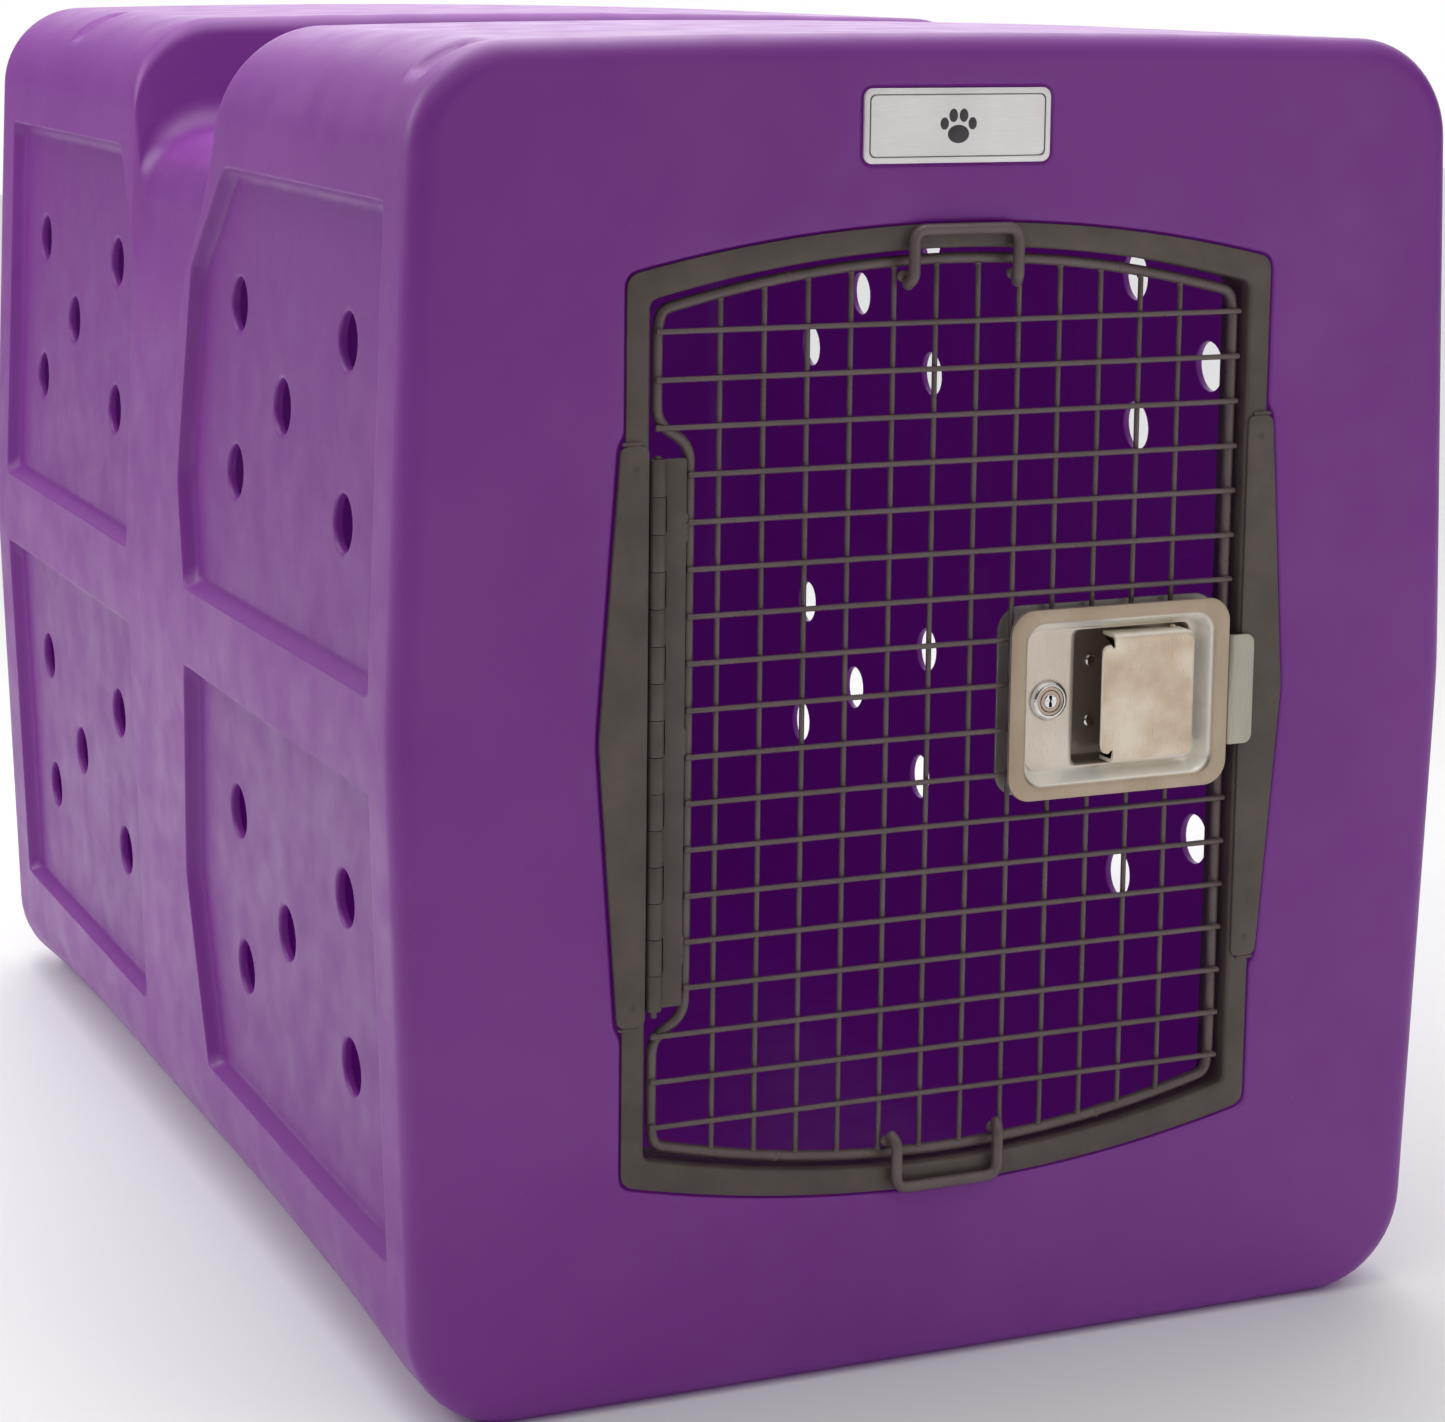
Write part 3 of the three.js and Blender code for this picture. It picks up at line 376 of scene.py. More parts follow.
def tube_rings(path, radius, sides, closed=False, start=(0, 1, 0)):
    """Circles along a 3-D path, carried along without twist."""
    path = np.asarray(path, float)
    n = len(path)
    if closed:
        along = np.roll(path, -1, 0) - np.roll(path, 1, 0)
    else:
        along = np.gradient(path, axis=0)
    along /= np.linalg.norm(along, axis=1)[:, None]
    side = np.array(start, float)
    rings = []
    radii = radius if np.ndim(radius) else np.full(n, radius)
    for i in range(n):
        side = side - along[i] * (side @ along[i])
        side /= np.linalg.norm(side)
        up = np.cross(along[i], side)
        t = np.arange(sides) * 2 * math.pi / sides
        rings.append(path[i] + radii[i] * (np.outer(np.cos(t), side) + np.outer(np.sin(t), up)))
    return rings


def rod(skin, path, radius, sides=14, closed=False, start=(0, 1, 0), nose=0.35):
    """A round rod along a path, with slightly rounded ends."""
    path = np.asarray(path, float)
    if closed:
        rings = tube_rings(path, radius, sides, True, start)
        skin.loft(rings + [rings[0]])
        return
    d0, d1 = path[0] - path[1], path[-1] - path[-2]
    d0, d1 = d0 / np.linalg.norm(d0), d1 / np.linalg.norm(d1)
    ends = [(0.62, nose), (0.88, nose * 0.6), (1.0, 0.0)]
    stretch = [path[0] + d0 * radius * (up - nose) for _, up in ends]
    tail = [path[-1] + d1 * radius * (up - nose) for _, up in reversed(ends)]
    full = np.concatenate([stretch, path[1:-1] if len(path) > 2 else np.zeros((0, 3)), tail])
    narrow = [radius * share for share, _ in ends]
    radii = narrow + [radius] * max(0, len(path) - 2) + narrow[::-1]
    skin.loft(tube_rings(full, np.array(radii), sides, False, start), cap="se")


# ------------------------------------------------------------------ shell surface
def side_x(z):
    """Half width of the flat side at a height; the lean changes over softly at mid height."""
    drop = np.sqrt((np.asarray(z, float) - MID_Z) ** 2 + 144) - 12
    return BODY_W / 2 - SIDE_LEAN * drop


def ease(t):
    t = np.clip(t, 0, 1)
    return t * t * (3 - 2 * t)


def valley_wall(height, top_r, foot_r, steps=7):
    """(run, share of the drop) along a wall that turns down, falls and turns out again."""
    turn = math.pi / 2 - VALLEY_DRAFT
    cut = 1 - math.cos(turn)
    straight = height - (top_r + foot_r) * cut
    width = (top_r + foot_r) * math.sin(turn) + straight * math.tan(VALLEY_DRAFT)
    spots = [(top_r * math.sin(turn * k / steps), top_r * (1 - math.cos(turn * k / steps)))
             for k in range(steps + 1)]
    spots += [(width - foot_r * math.sin(turn * k / steps),
               height - foot_r * (1 - math.cos(turn * k / steps))) for k in range(steps, -1, -1)]
    return np.array(spots) / (1, height)


DROP = ROOF_Z - VALLEY_Z
FRONT_WALL_RUN = valley_wall(DROP, 15, 20)
REAR_WALL_RUN = valley_wall(DROP, 13, 24)
FALL = (VALLEY_START + FRONT_WALL_RUN[:, 0], FRONT_WALL_RUN[:, 1])
RISE = (VALLEY_END - REAR_WALL_RUN[::-1, 0], REAR_WALL_RUN[::-1, 1])
V_HOLD = (250, 322, 374, 520)  # stations: start, full, full and end of the front wall's slant


def valley_share(v):
    """0 on a hump, 1 in the roof valley, at a station v."""
    return np.interp(v, np.concatenate([FALL[0], RISE[0]]), np.concatenate([FALL[1], RISE[1]]), 0, 0)


def slant(z):
    """How far back the front hump's rear edge lies at a height, against the roof."""
    return np.interp(z, (420, 500, 557, 591, 626, 653, 690, ROOF_Z), (100, 92, 82, 75, 47, 32, 18, 0))


def station_y(v, shift):
    v0, v1, v2, v3 = V_HOLD
    return v + shift * np.interp(v, (v0, v1, v2, v3), (0, 1, 1, 0))


def station_of(y, shift):
    """The station of a point at y; the reverse of station_y."""
    v0, v1, v2, v3 = V_HOLD
    y, shift = np.broadcast_arrays(np.asarray(y, float), np.asarray(shift, float))
    y1, y2 = v1 + shift, v2 + shift
    before = v0 + (y - v0) * (v1 - v0) / (y1 - v0)
    after = v2 + (y - y2) * (v3 - v2) / (v3 - y2)
    return np.select([y <= v0, y < y1, y < y2, y < v3], [y, before, y - shift, after], y)


def set_in(z):
    """How far the sides stand back in the valley."""
    return VALLEY_SET_IN * ease((np.asarray(z, float) - 535) / 95)


def corner_foot(y):
    """Radius of the bottom corners, larger between the ends."""
    middle = (y - BODY_L / 2) / (BODY_L / 2 - BACK_R)
    return CORNER_R + WAIST_R * max(0.0, 1 - middle ** 4)


def foot_half(y, inset):
    """Right half of the bottom from the middle to the side patch, as (x, z)."""
    r = corner_foot(y)
    cx = float(side_x(r)) - r / math.cos(LEAN)
    points = [(cx * k / 10, inset) for k in range(10)]
    for k in range(13):
        t = -math.pi / 2 + (math.pi / 2 - LEAN) * k / 12
        points.append((cx + (r - inset) * math.cos(t), r + (r - inset) * math.sin(t)))
    points.append((float(side_x(SIDE_LOW)) - inset, SIDE_LOW))
    return np.array(points)


def top_half(roof_z, r, start_z, stand_back, inset, crown=ROOF_CROWN):
    """Right half of the top from the side patch to the middle of the roof, as (x, z)."""
    cz = roof_z - r
    cx = float(side_x(cz)) - stand_back(cz) - r / math.cos(LEAN)
    points = [(float(side_x(start_z)) - stand_back(start_z) - inset, start_z)]
    for k in range(17):
        t = LEAN + (math.pi / 2 - LEAN) * k / 16
        points.append((cx + (r - inset) * math.cos(t), cz + (r - inset) * math.sin(t)))
    points += [(cx * (1 - k / 14), roof_z + crown * (1 - (1 - k / 14) ** 2) - inset) for k in range(1, 15)]
    return np.array(points)


def valley_z(zeta):
    """Height in the valley of the point that is at zeta on a hump."""
    return np.where(zeta < 560, zeta, 560 + (zeta - 560) * 0.5)


def panel_sink(y, z):
    """How deep the side is pressed in at a point, 0 to PANEL_DEPTH."""
    sink = np.zeros(np.broadcast(y, z).shape)
    for outline in PANELS:
        pts = np.array(outline, float)
        soft = np.zeros(sink.shape)
        for (y0, z0), (y1, z1) in zip(pts, np.roll(pts, -1, 0)):
            length = math.hypot(y1 - y0, z1 - z0)
            distance = ((y1 - y0) * (z - z0) - (z1 - z0) * (y - y0)) / length * turning(pts)
            soft = soft + np.exp(-np.clip(distance, -60, 60))
        t = np.clip((PANEL_LEAD - np.log(soft)) / PANEL_WALL_RUN, 0, 1)
        t = t * t / (t + PANEL_TOP_BEND) * (1 + PANEL_TOP_BEND)
        sink = np.maximum(sink, PANEL_DEPTH * (1 - (1 - t) ** PANEL_FOOT_BEND))
    return sink


def vent_lip(y, z, wall_side):
    """How far the skin turns in round the vent holes."""
    lip = np.zeros(np.broadcast(y, z).shape)
    r = 1.0 if wall_side else 1.8
    for vy, vz in VENTS:
        gap = np.clip(np.hypot(y - vy, z - vz) - VENT_R, 0, r)
        lip = np.maximum(lip, r - np.sqrt(r * r - (r - gap) ** 2))
    return lip


def corner_dent(y, z, x):
    """Small pressed pockets in the rounded top corners behind the front edge and on the rear hump."""
    angle = np.arctan2(z - (ROOF_Z - CORNER_R), x - (float(side_x(ROOF_Z - CORNER_R)) - CORNER_R))
    dent = np.zeros(np.broadcast(y, z).shape)
    for middle in DENT_YS:
        along = np.clip(1 - np.abs(y - middle) / DENT_HALF_L, 0, 1)
        across = np.clip(1 - np.abs(angle - DENT_ANGLE) / DENT_HALF_ANGLE, 0, 1)
        dent = np.maximum(dent, DENT_DEPTH * ease(along * DENT_STEEP) * ease(across * DENT_STEEP))
    return dent


def side_patch_x(y, zeta, inset):
    """(x, z) of the right side at (y, zeta), with panels, vent lips and the valley."""
    inner = inset > 0
    shift = slant(zeta)
    grow = np.where(y < HALFWAY, inset, -inset)
    share = valley_share(station_of(y + grow, shift))
    low = valley_z(zeta)
    z = zeta + (low - zeta) * share
    x = side_x(zeta) + (side_x(low) - set_in(low) - side_x(zeta)) * share - inset
    x = x - panel_sink(y, zeta) * (1 - share)
    lip = vent_lip(y, zeta, inner)
    return x + (lip if inner else -lip), z


SWELL_START, SWELL_RAMP, SWELL_FROM_X = 20, 60, 250  # only the side walls, fading in behind the front


def swell(points):
    """A gentle unevenness of the moulded walls, a fraction of a millimetre, along x, y and z."""
    x, y, z = points[:, 0], points[:, 1], points[:, 2]
    wave = (np.sin(y / 83 + 1.3 * np.sin(z / 131)) * np.sin(z / 97 + 0.7)
            + 0.6 * np.sin(y / 47 + z / 61 + 2.1) + 0.5 * np.sin(x / 71 + z / 89))
    return wave * 0.28


# ------------------------------------------------------------------ shell
def stations():
    """Where the sections stand between the two rounded ends."""
    v = list(np.arange(FRONT_R, 66, 3.0)) + list(np.arange(72, 320, 8.0))
    v += [322, 326, *FALL[0], 370, 374] + list(np.arange(382, 530, 9.0))
    v += list(RISE[0]) + [572, 576] + list(np.arange(584, 752, 8.0)) + list(np.arange(754, 792, 3.0))
    v += list(np.arange(800, BODY_L - BACK_R, 9.0)) + [BODY_L - BACK_R]
    return np.array(sorted(set(np.round(v, 3))))


def top_points(v, inset):
    """Right half of the top at a station as 3-D points, from the side patch to the roof's middle."""
    hump = top_half(ROOF_Z, CORNER_R, SIDE_HIGH, lambda z: 0.0, inset)
    low_start = float(valley_z(np.array(SIDE_HIGH)))
    low = top_half(VALLEY_Z, VALLEY_R, low_start, lambda z: float(set_in(z)), inset)
    shift = slant(hump[:, 1])
    y = station_y(v, shift)
    grow = np.where(y < HALFWAY, inset, -inset)
    share = valley_share(station_of(y + grow, shift))[:, None]
    section = hump + (low - hump) * share
    dent = corner_dent(y, hump[:, 1], hump[:, 0]) * (inset == 0)
    angle = np.arctan2(hump[:, 1] - (ROOF_Z - CORNER_R), CORNER_R)
    section = section - np.stack([np.cos(angle), np.sin(angle)], 1) * dent[:, None]
    return np.stack([section[:, 0], y, section[:, 1]], 1)


def mirrored(points):
    return np.asarray(points, float) * (-1, 1, 1)


def end_ring(y, inset):
    """The whole section at a rounded end, starting at the middle of the floor."""
    foot = foot_half(y, inset)
    top = top_half(ROOF_Z, CORNER_R, SIDE_HIGH, lambda z: 0.0, inset)
    side = np.stack([side_x(SIDE_LINES) - inset, SIDE_LINES], 1)
    right = np.concatenate([foot, side, top])
    ring = np.concatenate([right, right[-2:0:-1] * (-1, 1)])
    return at_y(ring, y)


def end_stations(inset):
    """(y, inset) pairs of the front's and the back's rounding."""
    front0 = 0.0 if inset == 0 else FRONT_WALL
    front, back = [], []
    for k in range(9):
        t = math.pi / 2 * k / 8
        y = front0 + (FRONT_R - front0) * (1 - math.cos(t))
        front.append((y, inset + (FRONT_R - inset) * (1 - math.sin(t))))
    for k in range(15):
        t = math.pi / 2 * k / 14
        r = BACK_R - inset
        back.append((BODY_L - BACK_R + r * math.sin(t), inset + r * (1 - math.cos(t))))
    return front, back


def side_patch():
    """2-D points (y, zeta) and triangles of a side between its rounded ends, cut round the vents."""
    v = stations()
    high = [(float(station_y(s, slant(SIDE_HIGH))), SIDE_HIGH) for s in v]
    low = [(float(s), SIDE_LOW) for s in v]
    ends = [(FRONT_R, z) for z in SIDE_LINES]
    backs = [(BODY_L - BACK_R, z) for z in SIDE_LINES]
    border = [*low, *backs, *reversed(high), *reversed(ends)]
    loops = [np.array(border)]
    avoid = [np.array(border)]
    for outline in PANELS:
        for by in PANEL_RINGS:
            loops.append(densify(mitred(outline, by), 11))
            avoid.append(loops[-1])
    vents = []
    for vy, vz in VENTS:
        for by, n in VENT_RINGS:
            ring = single(circle(vy, vz, VENT_R + by, n))
            loops.append(ring)
            if by == 0:
                vents.append(ring)
            avoid.append(ring)
    lines = []
    heights = np.linspace(SIDE_HIGH, 530, 18)[1:]
    for edge in [*FALL[0], 326, 370]:
        lines.append([(float(station_y(edge, slant(z))), z) for z in heights])
    for edge in [*RISE[0], 572]:
        lines.append([(float(edge), z) for z in heights])
    fill = grid_points(FRONT_R, BODY_L - BACK_R, SIDE_LOW, SIDE_HIGH, 10)
    keep = np.ones(len(fill), bool)
    for path in avoid:
        keep &= ~near_loop(fill, path, 5.5)
    for path in lines:
        keep &= ~near_loop(fill, densify(path, 5, False), 4)
    for vy, vz in VENTS:
        keep &= np.hypot(fill[:, 0] - vy, fill[:, 1] - vz) > VENT_R + 5

    def inside(centres):
        keep = np.ones(len(centres), bool)
        for ring in vents:
            keep &= ~in_loop(centres, ring)
        return keep

    spots, triangles = triangulate(loops, lines, fill[keep], inside)
    return spots, triangles, vents


def mitred(outline, by):
    """An outline moved inwards by a distance with its corners kept sharp."""
    pts = np.array(outline, float)
    out = []
    for i, p in enumerate(pts):
        d1, d2 = p - pts[i - 1], pts[(i + 1) % len(pts)] - p
        d1, d2 = d1 / np.linalg.norm(d1), d2 / np.linalg.norm(d2)
        n1 = np.array((-d1[1], d1[0])) * turning(pts)
        n2 = np.array((-d2[1], d2[0])) * turning(pts)
        mean = (n1 + n2) / np.linalg.norm(n1 + n2)
        out.append(p + mean * by / (mean @ n1))
    return np.array(out)


def door_outline(grow, cheeks=False, corner=9.0):
    """The door frame's outline moved out by a distance, about the door's centre."""
    half_w, corner_z, arc_z = 195 + grow, 246 + grow, 269.5 + grow
    xs = np.linspace(-half_w, half_w, 25)
    arc = corner_z + (arc_z - corner_z) * (1 - (xs / half_w) ** 2)
    side = []
    if cheeks:
        z, end, middle = 157 + grow, 198.5 + grow, 210 + grow
        side = [(half_w, -z - 5), (end, -z + 1), (middle, 0), (end, z - 1), (half_w, z + 5)]
    points = [*zip(xs, -arc), *side, *reversed([*zip(xs, arc)]), *[(-x, -z) for x, z in side]]
    loop = densify(rounded(points, corner), 14)
    return loop + (0, DOOR_Z)


def skin_of(inset, patch):
    """All of the outside (inset 0) or of the cabin's inside, apart from what joins the two."""
    skin = Skin()
    spots, triangles, _ = patch
    x, z = side_patch_x(spots[:, 0], spots[:, 1], inset)
    side = np.stack([x, spots[:, 0], z], 1)
    skin.add(side, triangles)
    skin.add(mirrored(side), triangles)
    v = stations()
    feet, tops = [], []
    for s in v:
        half = at_y(foot_half(s, inset), s)
        feet.append(np.concatenate([mirrored(half)[:0:-1], half]))
        half = top_points(s, inset)
        tops.append(np.concatenate([half, mirrored(half)[-2::-1]]))
    skin.loft(feet, closed=False)
    skin.loft(tops, closed=False)
    front, back = end_stations(inset)
    skin.loft([end_ring(y, i) for y, i in front])
    skin.loft([end_ring(y, i) for y, i in back])
    front_ring, back_ring = end_ring(*front[0])[:, [0, 2]], end_ring(*back[-1])[:, [0, 2]]
    return skin, front_ring, back_ring, front[0][0], back[-1][0]


def make_shell():
    patch = side_patch()
    skin, front_ring, back_ring, _, back_y = skin_of(0, patch)
    rebate = door_outline(1.2, cheeks=True)
    steps = [(2.2, 0), (1.3, 0.14), (0.6, 0.5), (0.15, 1.0), (0, 1.7), (0, 3.6)]
    skin.loft([at_y(grown(rebate, by), y) for by, y in steps])
    seat = round_rect(BADGE_X, BADGE_Z, BADGE_W + 3, BADGE_H + 3, 6.5, along=3)
    seat_steps = [(1.4, 0), (0.7, 0.12), (0.2, 0.5), (0, 1.2)]
    skin.loft([at_y(grown(seat, by), y) for by, y in seat_steps])
    face_between(skin, seat, [], seat_steps[-1][1])
    inner_front = np.asarray(grown(front_ring, -2.5))
    skin.loft([at_y(front_ring, 0), at_y(inner_front, 0)])
    face_between(skin, inner_front, [grown(rebate, 2.2), grown(seat, 1.4)], 0, 14)
    opening = door_outline(3.6 - 13.5, corner=5)
    face_between(skin, rebate, [opening], 3.6)
    inner_back = np.asarray(grown(back_ring, -4))
    skin.loft([at_y(back_ring, back_y), at_y(inner_back, back_y)])
    face_between(skin, inner_back, [], back_y, 16)

    cabin, front_ring, back_ring, front_y, back_y = skin_of(WALL, patch)
    face_between(cabin, front_ring, [opening], front_y, 22)
    face_between(cabin, back_ring, [], back_y, 22)
    skin.loft([at_y(opening, 3.6), at_y(opening, front_y)])
    for ring in patch[2]:
        for mirror in (False, True):
            rims = []
            for inset in (0, WALL):
                x, z = side_patch_x(ring[:, 0], ring[:, 1], inset)
                rim = np.stack([x, ring[:, 0], z], 1)
                rims.append(mirrored(rim) if mirror else rim)
            skin.loft(rims)
    skin.add(cabin.points(), cabin.faces)
    points = skin.points()
    x, y = points[:, 0], points[:, 1]
    on_side = (y > SWELL_START) & (np.abs(x) > SWELL_FROM_X)
    points[:, 0] += np.where(on_side, np.sign(x) * swell(points) * ease((y - SWELL_START) / SWELL_RAMP), 0)
    skin.verts = [points]
    piece(skin, "moulded_shell", PLASTIC, "carrier", ["shell"])


# ------------------------------------------------------------------ materials
class Finish:
    """A node material under construction, worked out in the piece's own metres."""

    def __init__(self, name, metallic, roughness):
        self.material = bpy.data.materials.new(name)
        self.material.use_nodes = True
        self.tree = self.material.node_tree
        self.shader = self.tree.nodes["Principled BSDF"]
        self.shader.inputs["Metallic"].default_value = metallic
        self.shader.inputs["Roughness"].default_value = roughness
        self.place = self.node("ShaderNodeTexCoord").outputs["Object"]

    def node(self, kind, inputs=None, **settings):
        made = self.tree.nodes.new(kind)
        for key, value in settings.items():
            setattr(made, key, value)
        for key, value in (inputs or {}).items():
            if isinstance(value, bpy.types.NodeSocket):
                self.tree.links.new(value, made.inputs[key])
            else:
                made.inputs[key].default_value = value
        return made

    def maths(self, operation, *values):
        return self.node("ShaderNodeMath", dict(enumerate(values)), operation=operation).outputs[0]

    def noise(self, scale, detail=3.0, stretch=(1, 1, 1)):
        place = self.node("ShaderNodeMapping", {"Vector": self.place, "Scale": stretch}).outputs["Vector"]
        inputs = {"Vector": place, "Scale": scale, "Detail": detail, "Roughness": 0.5}
        return self.node("ShaderNodeTexNoise", inputs).outputs["Fac"]

    def spread(self, value, low, high, to_low=0.0, to_high=1.0):
        inputs = {"Value": value, "From Min": low, "From Max": high, "To Min": to_low, "To Max": to_high}
        return self.node("ShaderNodeMapRange", inputs, clamp=True).outputs["Result"]

    def mix(self, share, first, second):
        made = self.node("ShaderNodeMix", {"Factor": share}, data_type="RGBA")
        for socket, value in ((made.inputs[6], first), (made.inputs[7], second)):
            if isinstance(value, bpy.types.NodeSocket):
                self.tree.links.new(value, socket)
            else:
                socket.default_value = (*value, 1)
        return made.outputs[2]

    def bump(self, height, distance, strength=1.0, under=None):
        inputs = {"Height": height, "Distance": distance, "Strength": strength}
        if under:
            inputs["Normal"] = under
        return self.node("ShaderNodeBump", inputs).outputs["Normal"]

    def edge_light(self, width):
        """1 on worn convex edges, 0 elsewhere."""
        bevelled = self.node("ShaderNodeBevel", {"Radius": width}, samples=4).outputs["Normal"]
        straight = self.node("ShaderNodeNewGeometry").outputs["Normal"]
        turn = self.node("ShaderNodeVectorMath", {0: bevelled, 1: straight}, operation="DOT_PRODUCT")
        return self.spread(turn.outputs["Value"], 0.99, 0.88)

    def slope(self):
        """1 where the surface is turned well away from the front, 0 on faces that look straight out."""
        turned = self.node("ShaderNodeTexCoord").outputs["Normal"]
        ahead = self.node("ShaderNodeSeparateXYZ", {"Vector": turned}).outputs["Y"]
        return self.spread(self.maths("ABSOLUTE", ahead), 0.97, 0.7)

    def set(self, **sockets):
        for name, value in sockets.items():
            socket = self.shader.inputs[name.replace("_", " ")]
            if isinstance(value, bpy.types.NodeSocket):
                self.tree.links.new(value, socket)
            else:
                socket.default_value = value
        return self.material


PANEL_SHADE_SHARE = 0.62  # how far the panel floors go over to a darker colour that paints in shade


def panel_floor_shade(f):
    """High on the floors of the side panels, 0 elsewhere; their darker colour is mostly painted shade, partly
    the ribs' lighter scuffs.
    """
    split = f.node("ShaderNodeSeparateXYZ", {"Vector": f.place})
    x, y, z = (split.outputs[axis] for axis in "XYZ")
    height = f.maths("ABSOLUTE", f.maths("SUBTRACT", z, MID_Z * MM))
    wall = f.maths("SUBTRACT", float(side_x(MID_Z)) * MM, f.maths("MULTIPLY", height, SIDE_LEAN))
    depth = f.maths("SUBTRACT", wall, f.maths("ABSOLUTE", x))
    shares = [f.spread(depth, 1 * MM, (PANEL_DEPTH - 1) * MM), f.spread(depth, 15 * MM, 11 * MM),
              f.spread(height, 300 * MM, 285 * MM), f.spread(y, FRONT_Y + 20 * MM, FRONT_Y + 40 * MM),
              f.spread(y, FRONT_Y + (BODY_L - 50) * MM, FRONT_Y + (BODY_L - 70) * MM)]
    share = PANEL_SHADE_SHARE
    for other in shares:
        share = f.maths("MULTIPLY", other, share)
    return share


# the panel floors' darker purple is painted shade in the recesses
PURPLE_DEEP, PURPLE, PURPLE_PANEL_SHADE = (0.146, 0.024, 0.190), (0.166, 0.032, 0.214), (0.118, 0.014, 0.158)
# the glow colour is painted light, standing in for light that passes through the walls
PURPLE_WORN, PURPLE_SPECK, PURPLE_PAINTED_GLOW = (0.215, 0.060, 0.262), (0.30, 0.12, 0.37), (0.60, 0.02, 1.0, 1)


def moulded_plastic():
    """Purple plastic with faint clouds, flow marks and pale specks, panel floors darkened as painted shade,
    and a faint glow that paints in light through its depth into the shaded cabin.
    """
    f = Finish("moulded_plastic", 0.0, 0.42)
    clouds = f.spread(f.noise(5.5, 4.0, (1, 0.5, 0.8)), 0.36, 0.66)
    flow = f.spread(f.noise(9, 3.0, (1, 0.5, 0.8)), 0.45, 0.75)
    colour = f.mix(clouds, PURPLE_DEEP, PURPLE)
    colour = f.mix(f.maths("MULTIPLY", flow, 0.35), colour, PURPLE_WORN)
    # panel floors go darker: painted shade in the recesses
    colour = f.mix(panel_floor_shade(f), colour, PURPLE_PANEL_SHADE)
    specks = f.spread(f.noise(420, 2.0), 0.72, 0.80, 0, 0.25)
    colour = f.mix(specks, colour, PURPLE_SPECK)
    rough = f.spread(f.noise(30, 4.0), 0.3, 0.7, 0.36, 0.50)
    skin = f.bump(f.noise(900, 2.0), 0.00006, 0.55)
    waves = f.bump(f.noise(10, 2.0, (1, 0.5, 1)), 0.0008, 0.5, skin)
    # the faint emission is a painted glow for light through the translucent walls into the cabin
    return f.set(Base_Color=colour, Roughness=rough, Normal=waves, IOR=1.42,
                 Emission_Color=PURPLE_PAINTED_GLOW, Emission_Strength=0.05)


def coated_steel(name, low, high, smooth, dull):
    """Powder-coated steel between two tones and two roughnesses, worn on its edges."""
    f = Finish(name, 0.0, 0.5)
    tone = f.spread(f.noise(38, 4.0), 0.34, 0.68)
    colour = f.mix(tone, low, high)
    wear = f.maths("MULTIPLY", f.edge_light(0.6 * MM), f.noise(160, 2.0))
    colour = f.mix(wear, colour, (0.30, 0.25, 0.22))
    rough = f.spread(f.noise(300, 3.0), 0.3, 0.7, smooth, dull)
    skin = f.bump(f.noise(2200, 2.0), 0.00004, 0.6)
    return f.set(Base_Color=colour, Roughness=rough, Normal=skin)


BRUSH_SCALE, BRUSH_DEPTH = 2600, 0.00002
UPRIGHT, LEVEL, ROUND = (1, 1, 0.03), (0.03, 1, 1), (1, 1, 1)  # which way the brushing runs


def brushed(name, low, high, roughness, grain=UPRIGHT, metallic=1.0):
    """Brushed metal between two tones, with fine lines along its grain."""
    f = Finish(name, metallic, roughness)
    lines = f.noise(BRUSH_SCALE, 2.0, grain)
    warm = f.spread(f.noise(26, 3.0, (1, 1, 0.6)), 0.36, 0.66)
    colour = f.mix(warm, low, high)
    colour = f.mix(f.spread(lines, 0.3, 0.7, 0, 0.35), colour, tuple(c * 0.82 for c in low))
    rough = f.spread(lines, 0.3, 0.7, roughness - 0.06, roughness + 0.08)
    skin = f.bump(lines, BRUSH_DEPTH, 0.35)
    return f.set(Base_Color=colour, Roughness=rough, Normal=skin)


def pan_steel():
    """The pressing's steel with painted light: the flat flange is painted darker than the polished dish as
    painted shade, the dish's sloped walls carry a painted highlight and the deep pocket a painted shade.
    """
    f = Finish("pan_stainless", 1.0, 0.34)
    lines = f.noise(BRUSH_SCALE, 2.0, UPRIGHT)
    warm = f.spread(f.noise(26, 3.0, (1, 1, 0.6)), 0.36, 0.66)
    depth = f.node("ShaderNodeSeparateXYZ", {"Vector": f.place}).outputs["Y"]

    def behind(start, full):
        """0 to 1 between two depths in millimetres behind the shell's front."""
        return f.spread(depth, FRONT_Y + start * MM, FRONT_Y + full * MM)

    dish = behind(-3.7, -2.4)
    # the flange's darker colour is painted shade for the dim reflection it faces; the dish's lighter colour
    # is painted reflection
    colour = f.mix(dish, f.mix(warm, (0.39, 0.300, 0.215), (0.47, 0.375, 0.285)),
                   f.mix(warm, (0.70, 0.60, 0.51), (0.80, 0.71, 0.62)))
    colour = f.mix(f.spread(lines, 0.3, 0.7, 0, 0.12), colour, (0.42, 0.35, 0.28))
    # painted highlight on the dish's sloped walls, with less metal so that it shows
    walls = f.maths("MULTIPLY", dish, f.slope())
    walls = f.maths("MULTIPLY", walls, behind(9, 7.5))
    colour = f.mix(walls, colour, (0.97, 0.93, 0.84))
    # painted shade deep in the pocket
    colour = f.mix(behind(10, 15), colour, (0.36, 0.30, 0.25))
    rough = f.spread(lines, 0.3, 0.7, 0.27, 0.40)
    metal = f.maths("SUBTRACT", f.spread(dish, 0, 1, 0.9, 0.55), f.spread(walls, 0, 1, 0, 0.3))
    return f.set(Base_Color=colour, Roughness=rough, Normal=f.bump(lines, BRUSH_DEPTH, 0.35), Metallic=metal)


